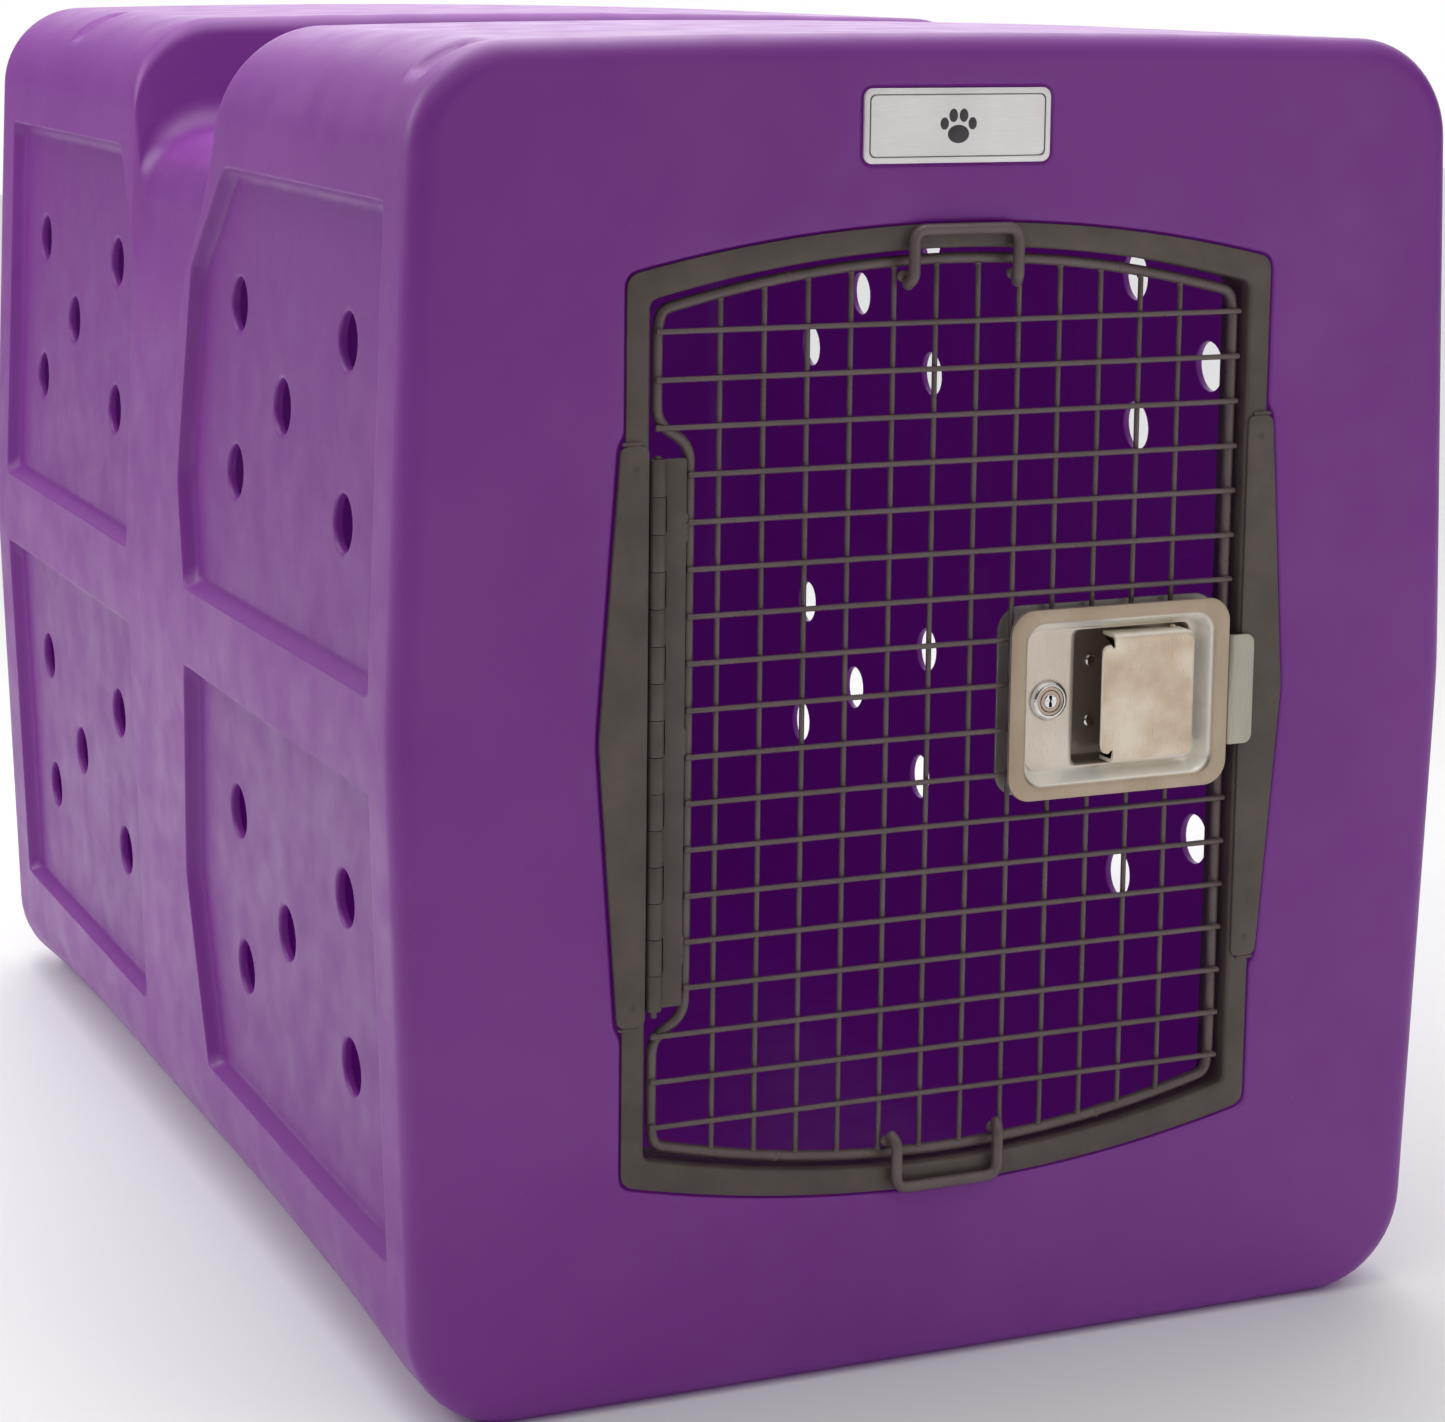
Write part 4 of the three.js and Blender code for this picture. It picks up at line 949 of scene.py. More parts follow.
def paddle_steel():
    """The pull handle's steel, blotchy and polished by fingers, with a painted highlight on its bends."""
    f = Finish("paddle_stainless", 0.7, 0.34)
    lines = f.noise(BRUSH_SCALE, 2.0, UPRIGHT)
    warm = f.spread(f.noise(34, 4.0), 0.38, 0.62)
    colour = f.mix(warm, (0.60, 0.46, 0.33), (0.80, 0.70, 0.57))
    colour = f.mix(f.spread(lines, 0.3, 0.7, 0, 0.1), colour, (0.50, 0.40, 0.30))
    # painted highlight on the turned-back bends
    bend_highlight = f.slope()
    colour = f.mix(bend_highlight, colour, (0.93, 0.88, 0.78))
    rough = f.spread(lines, 0.3, 0.7, 0.27, 0.38)
    return f.set(Base_Color=colour, Roughness=rough, Normal=f.bump(lines, BRUSH_DEPTH, 0.3),
                 Metallic=f.spread(bend_highlight, 0, 1, 0.7, 0.35))


def chrome():
    f = Finish("lock_chrome", 1.0, 0.1)
    haze = f.noise(140, 3.0)
    colour = f.mix(f.spread(haze, 0.35, 0.65), (0.60, 0.59, 0.58), (0.80, 0.79, 0.78))
    return f.set(Base_Color=colour, Roughness=f.spread(haze, 0.3, 0.7, 0.06, 0.16))


def dark_enamel():
    f = Finish("dark_enamel", 0.0, 0.4)
    tone = f.noise(220, 3.0)
    colour = f.mix(tone, (0.030, 0.024, 0.030), (0.070, 0.058, 0.066))
    return f.set(Base_Color=colour, Roughness=f.spread(tone, 0.3, 0.7, 0.35, 0.5))


# each look is a material and a slot name
PLASTIC = moulded_plastic(), "shell_plastic"
COATED = coated_steel("coated_steel", (0.080, 0.060, 0.049), (0.108, 0.083, 0.069), 0.42, 0.6), "coated_steel"
# a lighter, pinker copy of the frame's coating: painted light for the rods' brighter, glossy look
COATED_ROD_LIT = (coated_steel("coated_rod_lit", (0.118, 0.084, 0.080), (0.150, 0.110, 0.106), 0.26, 0.40),
              "coated_steel")
STAINLESS = brushed("brushed_stainless", (0.62, 0.50, 0.38), (0.72, 0.61, 0.49), 0.34), "stainless"
PAN_STEEL = pan_steel(), "stainless"
PADDLE_STEEL = paddle_steel(), "stainless"
# darker than the other stainless: painted shade for the plate's shadowed place behind the pan
BACKING_STEEL_SHADED = (brushed("backing_steel_shaded", (0.33, 0.30, 0.27), (0.42, 0.39, 0.36), 0.45, UPRIGHT, 0.7),
                 "stainless")
TAB_STEEL = (brushed("tab_stainless", (0.44, 0.405, 0.335), (0.50, 0.465, 0.39), 0.42, UPRIGHT, 0.85),
             "stainless")
PLUG_STEEL = brushed("plug_steel", (0.46, 0.36, 0.29), (0.56, 0.45, 0.37), 0.28, ROUND), "lock_chrome"
SPRING_STEEL = brushed("spring_steel", (0.30, 0.29, 0.28), (0.38, 0.37, 0.36), 0.3, ROUND), "spring_steel"
BADGE_METAL = brushed("badge_metal", (0.84, 0.80, 0.79), (0.92, 0.89, 0.88), 0.36, LEVEL, 0.45), "badge_metal"
CHROME = chrome(), "lock_chrome"
RIVET_CHROME = CHROME[0], "stainless"
ENAMEL = dark_enamel(), "badge_metal"


# ------------------------------------------------------------------ frame and cheeks
FRAME_Y, FRAME_BACK, LIP_BACK, STRIP_W = 0.6, 3.0, 30.0, 13.5
CHEEK_HALF, DIMPLE_X, DIMPLE_Z = 157, 190.5, 146


def make_frame():
    skin = Skin()
    outer, inner = door_outline(0), door_outline(-STRIP_W, corner=4.5)
    rim = [(-0.8, FRAME_Y), (-0.25, FRAME_Y + 0.2), (0, FRAME_Y + 0.7), (0, FRAME_BACK - 0.4),
           (-0.4, FRAME_BACK)]
    skin.loft(edge_rings(outer, rim))
    lip = [(2.6, 0.6), (1.6, 0.78), (0.76, 1.36), (0.2, 2.2), (0, 3.2), (0, 12), (0, 21), (0, 29.4),
           (0.3, 29.87), (0.8, LIP_BACK), (1.6, LIP_BACK), (2.1, 29.87), (2.4, 29.4), (2.4, 4.0), (2.6, 3.3),
           (3.1, FRAME_BACK)]
    skin.loft(edge_rings(inner, lip))
    face_between(skin, grown(outer, rim[0][0]), [grown(inner, lip[0][0])], FRAME_Y, 16)
    face_between(skin, grown(outer, rim[-1][0]), [grown(inner, lip[-1][0])], FRAME_BACK, 16)
    piece(skin, "door_frame_ring", COATED, "carrier", ["door_frame"], 40)


def make_cheek(side, name, node):
    """Thick plate beside the opening, with a dimple pressed in at each end."""
    skin = Skin()
    points = [(182.5, -CHEEK_HALF), (198.5, -CHEEK_HALF), (210, 0), (198.5, CHEEK_HALF), (182.5, CHEEK_HALF)]
    outline = rounded([(side * x, z) for x, z in points], 5) + (0, DOOR_Z)
    y0, y1, edge = -1.6, 0.4, 0.7
    rim = [(-edge, y0), (-edge * 0.5, y0 + edge * 0.14), (-edge * 0.14, y0 + edge * 0.5), (0, y0 + edge),
           (0, y1)]
    skin.loft(edge_rings(outline, rim))
    dimples = []
    for z in (-DIMPLE_Z, DIMPLE_Z):
        rings = [(2.6, 0), (2.2, 0.1), (1.6, 0.45), (0.9, 0.7), (0.3, 0.8)]
        loops = [single(circle(side * DIMPLE_X, DOOR_Z + z, r, 20)) for r, _ in rings]
        skin.loft([at_y(loop, y0 + deep) for loop, (_, deep) in zip(loops, rings)], cap="e")
        dimples.append(loops[0])
    face_between(skin, grown(outline, -edge), dimples, y0, 10)
    face_between(skin, outline, [], y1)
    for z in (DOOR_Z - CHEEK_HALF - 1, DOOR_Z + CHEEK_HALF + 1):
        bead(skin, (side * 197.6, y0 + 1.6, z), (side * 186, y0 + 1.6, z), 1.3, 5)
    piece(skin, name, COATED, "carrier", [node], 40)


# ------------------------------------------------------------------ wire door
RIM_R, RIM_Y, WIRE_R, ROW_Y, COLUMN_Y = 3.0, 8.15, 1.5, 3.7, 6.6
RIM_HALF_W, RIM_CORNER_Z, RIM_ARC_Z = 175, 227, 250
NOTCH_X, NOTCH_HALF = -156, 162


def rim_height(x):
    """Height of the rim's middle over the door's centre."""
    return RIM_CORNER_Z + (RIM_ARC_Z - RIM_CORNER_Z) * (1 - (x / (RIM_HALF_W - 2)) ** 2)


def make_rim():
    xs = np.linspace(-173, 173, 31)
    low = [(x, -rim_height(x)) for x in xs]
    high = [(x, rim_height(x)) for x in reversed(xs)]
    right = [(RIM_HALF_W, -215), (RIM_HALF_W, 215)]
    notch = [(-RIM_HALF_W, NOTCH_HALF + 5), (NOTCH_X, NOTCH_HALF - 6)]
    left = [(-RIM_HALF_W, 215), *notch, *[(x, -z) for x, z in reversed(notch)], (-RIM_HALF_W, -215)]
    outline = densify(rounded([*low, *right, *high, *left], 12, 8), 6) + (0, DOOR_Z)
    skin = Skin()
    rod(skin, at_y(outline, RIM_Y), RIM_R, 18, closed=True)
    for x in (-101, 101):
        for up in (-1, 1):
            blob(skin, (x, RIM_Y - 0.4, DOOR_Z + up * (rim_height(x) + 0.2)), (2.6, 3.3, 3.3))
    piece(skin, "door_rim_rod", COATED_ROD_LIT, "door", ["door_rim"])


LOOP_R, LOOP_BEND_R = 3.2, 7.5
LATCH_CUT_X = LATCH_X - 61.8  # the wires end 1 mm short of the latch dish's wall
LATCH_CUT_Z = (LATCH_Z - 48.3, LATCH_Z + 48.3)


def make_wire(name, a, b, welds, start):
    skin = Skin()
    a, b = np.asarray(a, float), np.asarray(b, float)
    parts = max(2, int(np.linalg.norm(b - a) / 12))
    path = a + np.outer(np.linspace(0, 1, parts + 1), b - a)
    rod(skin, path, WIRE_R, 14, start=start)
    for spot, radii in welds:
        blob(skin, spot, radii, 10, 6)
    piece(skin, name + "_rod", COATED_ROD_LIT, "door", [name])


ROWS, COLUMNS = 18, 12
SIDE_WELD_Y, SIDE_WELD, END_WELD = 4.9, (2.3, 1.5, 2.1), (2.0, 1.9, 1.7)  # half sizes of the welds


def make_wires():
    for row in range(ROWS):
        z = DOOR_Z + ((ROWS - 1) / 2 - row) * PITCH
        beside = abs(z - DOOR_Z) < NOTCH_HALF
        left = (NOTCH_X if beside else -RIM_HALF_W) - 2.5
        right = LATCH_CUT_X if LATCH_CUT_Z[0] < z < LATCH_CUT_Z[1] else RIM_HALF_W + 2.6
        welds = [((left + 2.4, SIDE_WELD_Y, z), SIDE_WELD)]
        if right > RIM_HALF_W:
            welds.append(((right - 2.5, SIDE_WELD_Y, z), SIDE_WELD))
        make_wire(f"wire_row_{row + 1:02d}", (left, ROW_Y, z), (right, ROW_Y, z), welds, (0, 1, 0))
    for col in range(COLUMNS):
        x = (col - (COLUMNS - 1) / 2) * PITCH
        reach = rim_height(x) - RIM_R - 0.4
        low, high = (x, COLUMN_Y, DOOR_Z - reach), (x, COLUMN_Y, DOOR_Z + reach)
        foot = [((x, COLUMN_Y + 0.6, low[2] - 0.4), END_WELD)]
        head = [((x, COLUMN_Y + 0.6, high[2] + 0.4), END_WELD)]
        name = f"wire_col_{col + 1:02d}"
        if x < LATCH_CUT_X:
            make_wire(name, low, high, foot + head, (1, 0, 0))
        else:
            make_wire(name + "_low", low, (x, COLUMN_Y, LATCH_CUT_Z[0]), foot, (1, 0, 0))
            make_wire(name + "_high", (x, COLUMN_Y, LATCH_CUT_Z[1]), high, head, (1, 0, 0))


def make_loop(up, name, node):
    def z(height):
        return DOOR_Z + up * height

    half = [(33.6, 1.6, z(236)), (31.5, -4.2, z(240.5)), (31.5, -4.2, z(266.5))]
    points = half + [(-x, y, height) for x, y, height in reversed(half)]
    skin = Skin()
    path = rounded(points, LOOP_BEND_R, 8, closed=False, most=0.48)
    rod(skin, path, LOOP_R, 18, start=(1, 0, 0))
    for side in (-1, 1):
        blob(skin, (side * 33.2, 4.4, z(241.2)), (4.6, 2.4, 3.4), 14, 8)
    piece(skin, name, COATED_ROD_LIT, "door", [node])


# ------------------------------------------------------------------ hinge
HINGE_X, HINGE_Y, BARREL_R, PIN_R = -176.6, 1.6, 4.5, 2.0
HINGE_HALF, KNUCKLES = 149.5, 15
DOOR_LEAF_Y, FRAME_LEAF_X = (3.2, 5.0), (-181.2, -179.4)


def curl(side):
    """Section of a knuckle rolled from its leaf: a tail and a barrel with a seam, as (x, y)."""
    def arc(radius, angles):
        return [(HINGE_X + radius * math.cos(t), HINGE_Y + radius * math.sin(t)) for t in angles]

    bore = PIN_R + 0.3
    outer_step, inner_step = math.radians(9), math.radians(12)
    if side == "door":
        tail_x, (y0, y1) = -170.4, DOOR_LEAF_Y
        seam = -2 * math.pi + math.radians(58)
        outer = np.arange(math.asin((y0 - HINGE_Y) / BARREL_R), seam, -outer_step)
        inner = np.arange(seam, math.radians(30), inner_step)
        return np.array([(tail_x, y1), (tail_x, y0), *arc(BARREL_R, outer), *arc(bore, inner), (-173.0, y1)])
    tail_y, (x0, x1) = 7.4, FRAME_LEAF_X
    outer = np.arange(math.radians(172), math.radians(172) + math.radians(310), outer_step)
    inner = np.arange(math.radians(482), math.radians(150), -inner_step)
    return np.array([(x1, tail_y), (x0, tail_y), *arc(BARREL_R, outer), *arc(bore, inner), (x1, 4.6)])


def make_leaf(side, name, node, body):
    skin = Skin()
    section = curl(side)
    pitch = 2 * HINGE_HALF / KNUCKLES
    for i in range(1 if side == "door" else 0, KNUCKLES, 2):
        z0 = DOOR_Z - HINGE_HALF + i * pitch + 0.2
        z1 = z0 + pitch - 0.4
        plate(skin, section, [], z0, z1, 0.22, 2, at_z)
    half = HINGE_HALF - 0.5
    if side == "door":
        flat = rounded([(-159.3, -half), (-159.3, half), (-171.8, half), (-171.8, -half)], 2) + (0, DOOR_Z)
        plate(skin, flat, [], *DOOR_LEAF_Y, 0.4)
        for z in (-118, -4, 112):
            bead(skin, (-159.2, 4.6, DOOR_Z + z - 8), (-159.2, 4.6, DOOR_Z + z + 8), 1.7, 6)
    else:
        flat = rounded([(6.4, -half), (26, -half), (26, half), (6.4, half)], 2) + (0, DOOR_Z)
        plate(skin, flat, [], *FRAME_LEAF_X, 0.4, put=at_x)
        for z in (-110, 0, 110):
            bead(skin, (-180.9, 26.2, DOOR_Z + z - 9), (-180.9, 26.2, DOOR_Z + z + 9), 1.2, 6)
    piece(skin, name, COATED, body, [node], 40)


def make_pin():
    skin = Skin()
    low, high = DOOR_Z - HINGE_HALF - 4, DOOR_Z + HINGE_HALF + 1.5
    ends = np.array([(HINGE_X, HINGE_Y, low), (HINGE_X, HINGE_Y, high)])
    rod(skin, ends[0] + np.outer(np.linspace(0, 1, 9), ends[1] - ends[0]), PIN_R, 18, nose=0.45)
    piece(skin, "hinge_pin_rod", COATED, "carrier", ["hinge_pin"])


# ------------------------------------------------------------------ latch pan
FLANGE_Y, SHEET, DISH_Y, BACKING_Y, POCKET_Y = -4.0, 1.8, 8.0, 11.8, 24.0
FLANGE_W, FLANGE_H, FLANGE_R = 140, 108, 14
MOUTH = (44, 162, 45.5, 11)  # left, right, half height and corner radius of the dish's mouth
POCKET = (81, 153, 38.5, 4)  # the same of the deeper pocket in its floor
LOCK_X, LOCK_HOLE_R = 63.5, 8.9


def rect(x0, x1, half, r, steps=8):
    """A rounded rectangle about the latch's middle height, as (x, z)."""
    return single(round_rect((x0 + x1) / 2, LATCH_Z, x1 - x0, 2 * half, r, steps))


def mouth_ring(inset):
    x0, x1, half, r = MOUTH
    return rect(x0 + inset, x1 - inset, half - inset, r - 0.55 * inset)


def make_pan():
    skin = Skin()
    outline = round_rect(LATCH_X, LATCH_Z, FLANGE_W, FLANGE_H, FLANGE_R, 10)
    edge = [(-0.7, FLANGE_Y), (-0.2, FLANGE_Y + 0.14), (0, FLANGE_Y + 0.6), (0, -2.6),
            (-0.3, FLANGE_Y + SHEET)]
    skin.loft(edge_rings(outline, edge))
    front = [(-3.6, FLANGE_Y), (-2.4, -3.93), (-1.3, -3.65), (-0.4, -3.05), (0.3, -2.1), (1.1, -0.3),
             (2.3, 2.6), (3.3, 5.0), (4.0, 6.4), (4.8, 7.4), (5.6, 7.9), (6.2, DISH_Y)]
    skin.loft([at_y(mouth_ring(by), y) for by, y in front])
    back = [(-5.2, FLANGE_Y + SHEET), (-3.9, -2.05), (-2.6, -1.3), (-1.6, 0.2), (0.2, 4.4), (1.8, 7.8),
            (2.9, 9.2), (3.9, 9.72), (4.6, DISH_Y + SHEET)]
    skin.loft([at_y(mouth_ring(by), y) for by, y in back])
    face_between(skin, grown(outline, edge[0][0]), [mouth_ring(front[0][0])], FLANGE_Y)
    face_between(skin, grown(outline, edge[-1][0]), [mouth_ring(back[0][0])], FLANGE_Y + SHEET)
    inner, outer = pocket_walls()
    skin.loft([at_y(loop, y) for loop, y in inner])
    skin.loft([at_y(loop, y) for loop, y in outer])
    slot = rect(118, 150, 8, 1.5, 4)
    hole = single(circle(LOCK_X, LATCH_Z, LOCK_HOLE_R, 40))
    skin.loft([at_y(slot, POCKET_Y), at_y(slot, POCKET_Y + SHEET)])
    skin.loft([at_y(hole, DISH_Y), at_y(hole, DISH_Y + SHEET)])
    face_between(skin, mouth_ring(front[-1][0]), [inner[0][0], hole], DISH_Y, 5)
    face_between(skin, mouth_ring(back[-1][0]), [outer[0][0], hole], DISH_Y + SHEET)
    face_between(skin, inner[-1][0], [slot], POCKET_Y, 5)
    face_between(skin, outer[-1][0], [slot], POCKET_Y + SHEET)
    piece(skin, "latch_pan_pressing", PAN_STEEL, "door", ["latch_pan"], 50)


def pocket_walls():
    """The pocket's wall from the front and from behind, as (outline, y) pairs from its rim to its floor."""
    x0, x1, half, r = POCKET
    inner = []
    for k in range(7):
        t = math.pi / 2 * k / 6
        out = 1 - math.sin(t)
        inner.append((rect(x0 - 5.0 * out, x1 + 0.8 * out, half + 0.45 * out, r + 0.4 * out),
                      DISH_Y + 4.0 * (1 - math.cos(t))))
    inner += [(rect(*POCKET), 15.0)]
    for k in range(5):
        t = math.pi / 2 * k / 4
        by = 2.5 * (1 - math.cos(t))
        inner.append((rect(x0 + by, x1 - by, half - by, r - by * 0.5), POCKET_Y - 2.5 * (1 - math.sin(t))))
    outer = []
    for y, by in ((DISH_Y + SHEET, 0), (16, 0), (POCKET_Y - 0.6, 0), (POCKET_Y + 0.9, 0.5),
                  (POCKET_Y + SHEET, 2.4)):
        ring = rect(x0 - SHEET + by, x1 + SHEET - by, half + SHEET - by, r + SHEET - by * 0.5)
        outer.append((ring, y))
    return inner, outer


def make_backing():
    skin = Skin()
    y0 = BACKING_Y
    outline = round_rect(LATCH_X, LATCH_Z, FLANGE_W, FLANGE_H, FLANGE_R, 10)
    pocket = rect(78.7, 155.3, 40.8, 3, 5)
    hole = circle(LOCK_X, LATCH_Z, LOCK_HOLE_R, 40)
    plate(skin, outline, [pocket, hole], y0, y0 + SHEET, 0.5)
    frame_of_bolt = rounded([(y0 + 1.3, -14), (45, -14), (45, 14), (y0 + 1.3, 14)], 2) + (0, LATCH_Z)
    run = rounded([(30.2, -10.4), (42.4, -10.4), (42.4, 10.4), (30.2, 10.4)], 1) + (0, LATCH_Z)
    plate(skin, frame_of_bolt, [run], 155.6, 170, 0.6, put=at_x)
    bead(skin, (155.4, y0 + 1.9, LATCH_Z - 13), (155.4, y0 + 1.9, LATCH_Z + 13), 1.0, 9)
    for x, z in ((47, 40), (47, -40), (62, 46), (62, -46)):
        blob(skin, (x, y0 + SHEET, LATCH_Z + z), (2.6, 0.9, 2.6), 14, 8)
    piece(skin, "latch_backing_plate", BACKING_STEEL_SHADED, "door", ["latch_backing"], 40)


# ------------------------------------------------------------------ paddle
PADDLE_X0, PADDLE_X1, PADDLE_HALF, PADDLE_Y, PADDLE_T = 91.5, 151, 36.8, -3.4, 2.0
STEP_X, TAB_HALF, PIVOT_X, PIVOT_Y = 99.4, 31.0, 141.5, 6.5
FOLD_R, TAB_CORNER_R, PADDLE_CORNER_R = 3.2, 4.6, 6.5
TAB_XS = (91.5, 91.62, 91.9, 92.3, 92.9, 93.7, 94.8, 96.1, 97.0, 97.5, 98.0, 98.7, STEP_X)
PADDLE_XS = (STEP_X, 99.55, 100.0, 104, 110, 118, 126, 134, 140, 144, 145.5, 147, 148.4, 149.4, 150.1, 150.6,
             150.9, 151)


def paddle_section(half, depth, fall, tab, thin=0.0):
    """Outer and inner halves of the paddle's section as (y, z) points that match one to one."""
    flat = np.linspace(-28.5, 28.5, 12)
    if tab:
        mid = PADDLE_Y + PADDLE_T / 2
        outer = [(mid, half)] * 13 + [(PADDLE_Y + 0.25 + thin, half - 0.12), (PADDLE_Y + thin, half - 0.6)]
        inner = [(mid, half)] * 13 + [(PADDLE_Y + PADDLE_T - 0.25 - thin, half - 0.12),
                                      (PADDLE_Y + PADDLE_T - thin, half - 0.6)]
    else:
        outer, inner = [(depth, half - 0.25), (depth - 0.5, half)], [(depth, half - PADDLE_T + 0.25),
                                                                 (depth - 0.5, half - PADDLE_T)]
        for y in (depth * 0.66, depth * 0.33):
            outer.append((y, half))
            inner.append((y, half - PADDLE_T))
        for k in range(11):
            t = math.pi / 2 * k / 10
            for path, r in ((outer, FOLD_R), (inner, FOLD_R - PADDLE_T)):
                path.append((PADDLE_Y + fall + FOLD_R - r * math.sin(t), half - FOLD_R + r * math.cos(t)))
    front = [(PADDLE_Y + fall * (not tab) + thin, z) for z in flat]
    back = [(PADDLE_Y + PADDLE_T + fall * (not tab) - thin, z) for z in flat]
    outer = [(y, -z) for y, z in outer] + front + [(y, z) for y, z in reversed(outer)]
    inner = [(y, -z) for y, z in inner] + back + [(y, z) for y, z in reversed(inner)]
    return np.array(outer), np.array(inner)


def make_paddle():
    skin = Skin()
    rings = []

    def add(x, section):
        outer, inner = section
        ring = np.concatenate([outer, inner[::-1]])
        rings.append(np.column_stack([np.full(len(ring), x), ring[:, 0], ring[:, 1] + LATCH_Z]))

    r = TAB_CORNER_R
    for x in TAB_XS:
        into = min(r, x - PADDLE_X0)
        half = TAB_HALF - r + math.sqrt(r * r - (r - into) ** 2)
        if x > 97:
            half -= 1.7 * math.sqrt(max(0.0, 1 - ((STEP_X - x) / 2.4) ** 2))
        thin = max(0.0, 0.7 - (x - PADDLE_X0) * 2.2)
        add(x, paddle_section(half, 0, 0, True, thin))
    r = PADDLE_CORNER_R
    for x in PADDLE_XS:
        into = max(0.0, x - (PADDLE_X1 - r))
        half = PADDLE_HALF - (r - math.sqrt(max(0.0, r ** 2 - into * into))) * 0.7
        fall = 1.5 * (1 - math.sqrt(max(0.0, 1 - (max(0.0, x - 149.5) / 1.5) ** 2)))
        shy = 0.25 if x == STEP_X else 0.0
        add(x, paddle_section(half - shy, 11.6 - shy - max(0.0, x - 147) * 0.8, fall, False))
    skin.loft(rings)
    n = len(rings[0])
    for ring in (rings[0], rings[-1]):
        faces = [(i, i + 1, n - 2 - i, n - 1 - i) for i in range(n // 2 - 1)]
        skin.add(ring, faces)
    tail = [(139.6, -1.6), (143.4, -1.6), (143.4, 36.5), (142.6, 39.4), (140.4, 39.4), (139.6, 36.5)]
    plate(skin, rounded(tail, 0.8, 3), [], LATCH_Z - 5, LATCH_Z + 5, 0.4, 2, at_z)
    hub = circle(PIVOT_X, PIVOT_Y, 4.6, 28)
    plate(skin, hub, [circle(PIVOT_X, PIVOT_Y, 2.15, 28)], LATCH_Z - 8, LATCH_Z + 8, 0.4, 2, at_z)
    piece(skin, "latch_paddle_pressing", PADDLE_STEEL, "paddle", ["latch_paddle"], 42)


def make_paddle_pin():
    skin = Skin()
    low, high = LATCH_Z - 38.2, LATCH_Z + 38.2
    levels = np.linspace(low, high, 7)
    rod(skin, [(PIVOT_X, PIVOT_Y, z) for z in levels], 2.0, 20, nose=0.5)
    piece(skin, "paddle_pin_rod", STAINLESS, "door", ["paddle_pin"])


COIL_TURNS, COIL_R, COIL_WIRE_R, COIL_PITCH = 4, 4.2, 0.7, 2.6


def make_spring():
    skin = Skin()
    path = []
    per_turn = 20
    for k in range(COIL_TURNS * per_turn + 1):
        t = 2 * math.pi * k / per_turn
        height = LATCH_Z + 14 + k / per_turn * COIL_PITCH
        path.append((PIVOT_X + COIL_R * math.cos(t), PIVOT_Y + COIL_R * math.sin(t), height))
    rod(skin, path, COIL_WIRE_R, 10, start=(0, 0, 1))
    piece(skin, "paddle_spring_coil", SPRING_STEEL, "door", ["paddle_spring"])


BOLT_Y, BOLT_HALF, WINDOW_HALF = (30.6, 42), 10, 6.5
BOLT_NOSE = [(179.2, 30.6), (179.2, 34.6), (172.2, 42)]


def make_bolt():
    """A bar with a window for the paddle's tail: two side bars and a block before and behind the window."""
    skin = Skin()
    (y0, y1), window = BOLT_Y, (134.5, 148.5)
    outline = rounded([(95, y0), *BOLT_NOSE, (95, y1)], 1.2, 4)
    for z0, z1 in ((-BOLT_HALF, -WINDOW_HALF), (WINDOW_HALF, BOLT_HALF)):
        plate(skin, outline, [], LATCH_Z + z0, LATCH_Z + z1, 0.6, 3, at_z)
    reach = WINDOW_HALF + 0.4
    tail = [(95, y0), (window[0], y0), (window[0], y1), (95, y1)]
    for block in (tail, [(window[1], y0), *BOLT_NOSE, (window[1], y1)]):
        plate(skin, rounded(block, 1.2, 4), [], LATCH_Z - reach, LATCH_Z + reach, 0.3, 2, at_z)
    piece(skin, "latch_bolt_bar", STAINLESS, "bolt", ["latch_bolt"], 40)


# ------------------------------------------------------------------ key lock
PLUG_R, INSERT_R = 6.0, 3.9
FLUTES, FLUTE_DEPTH = 36, 0.14


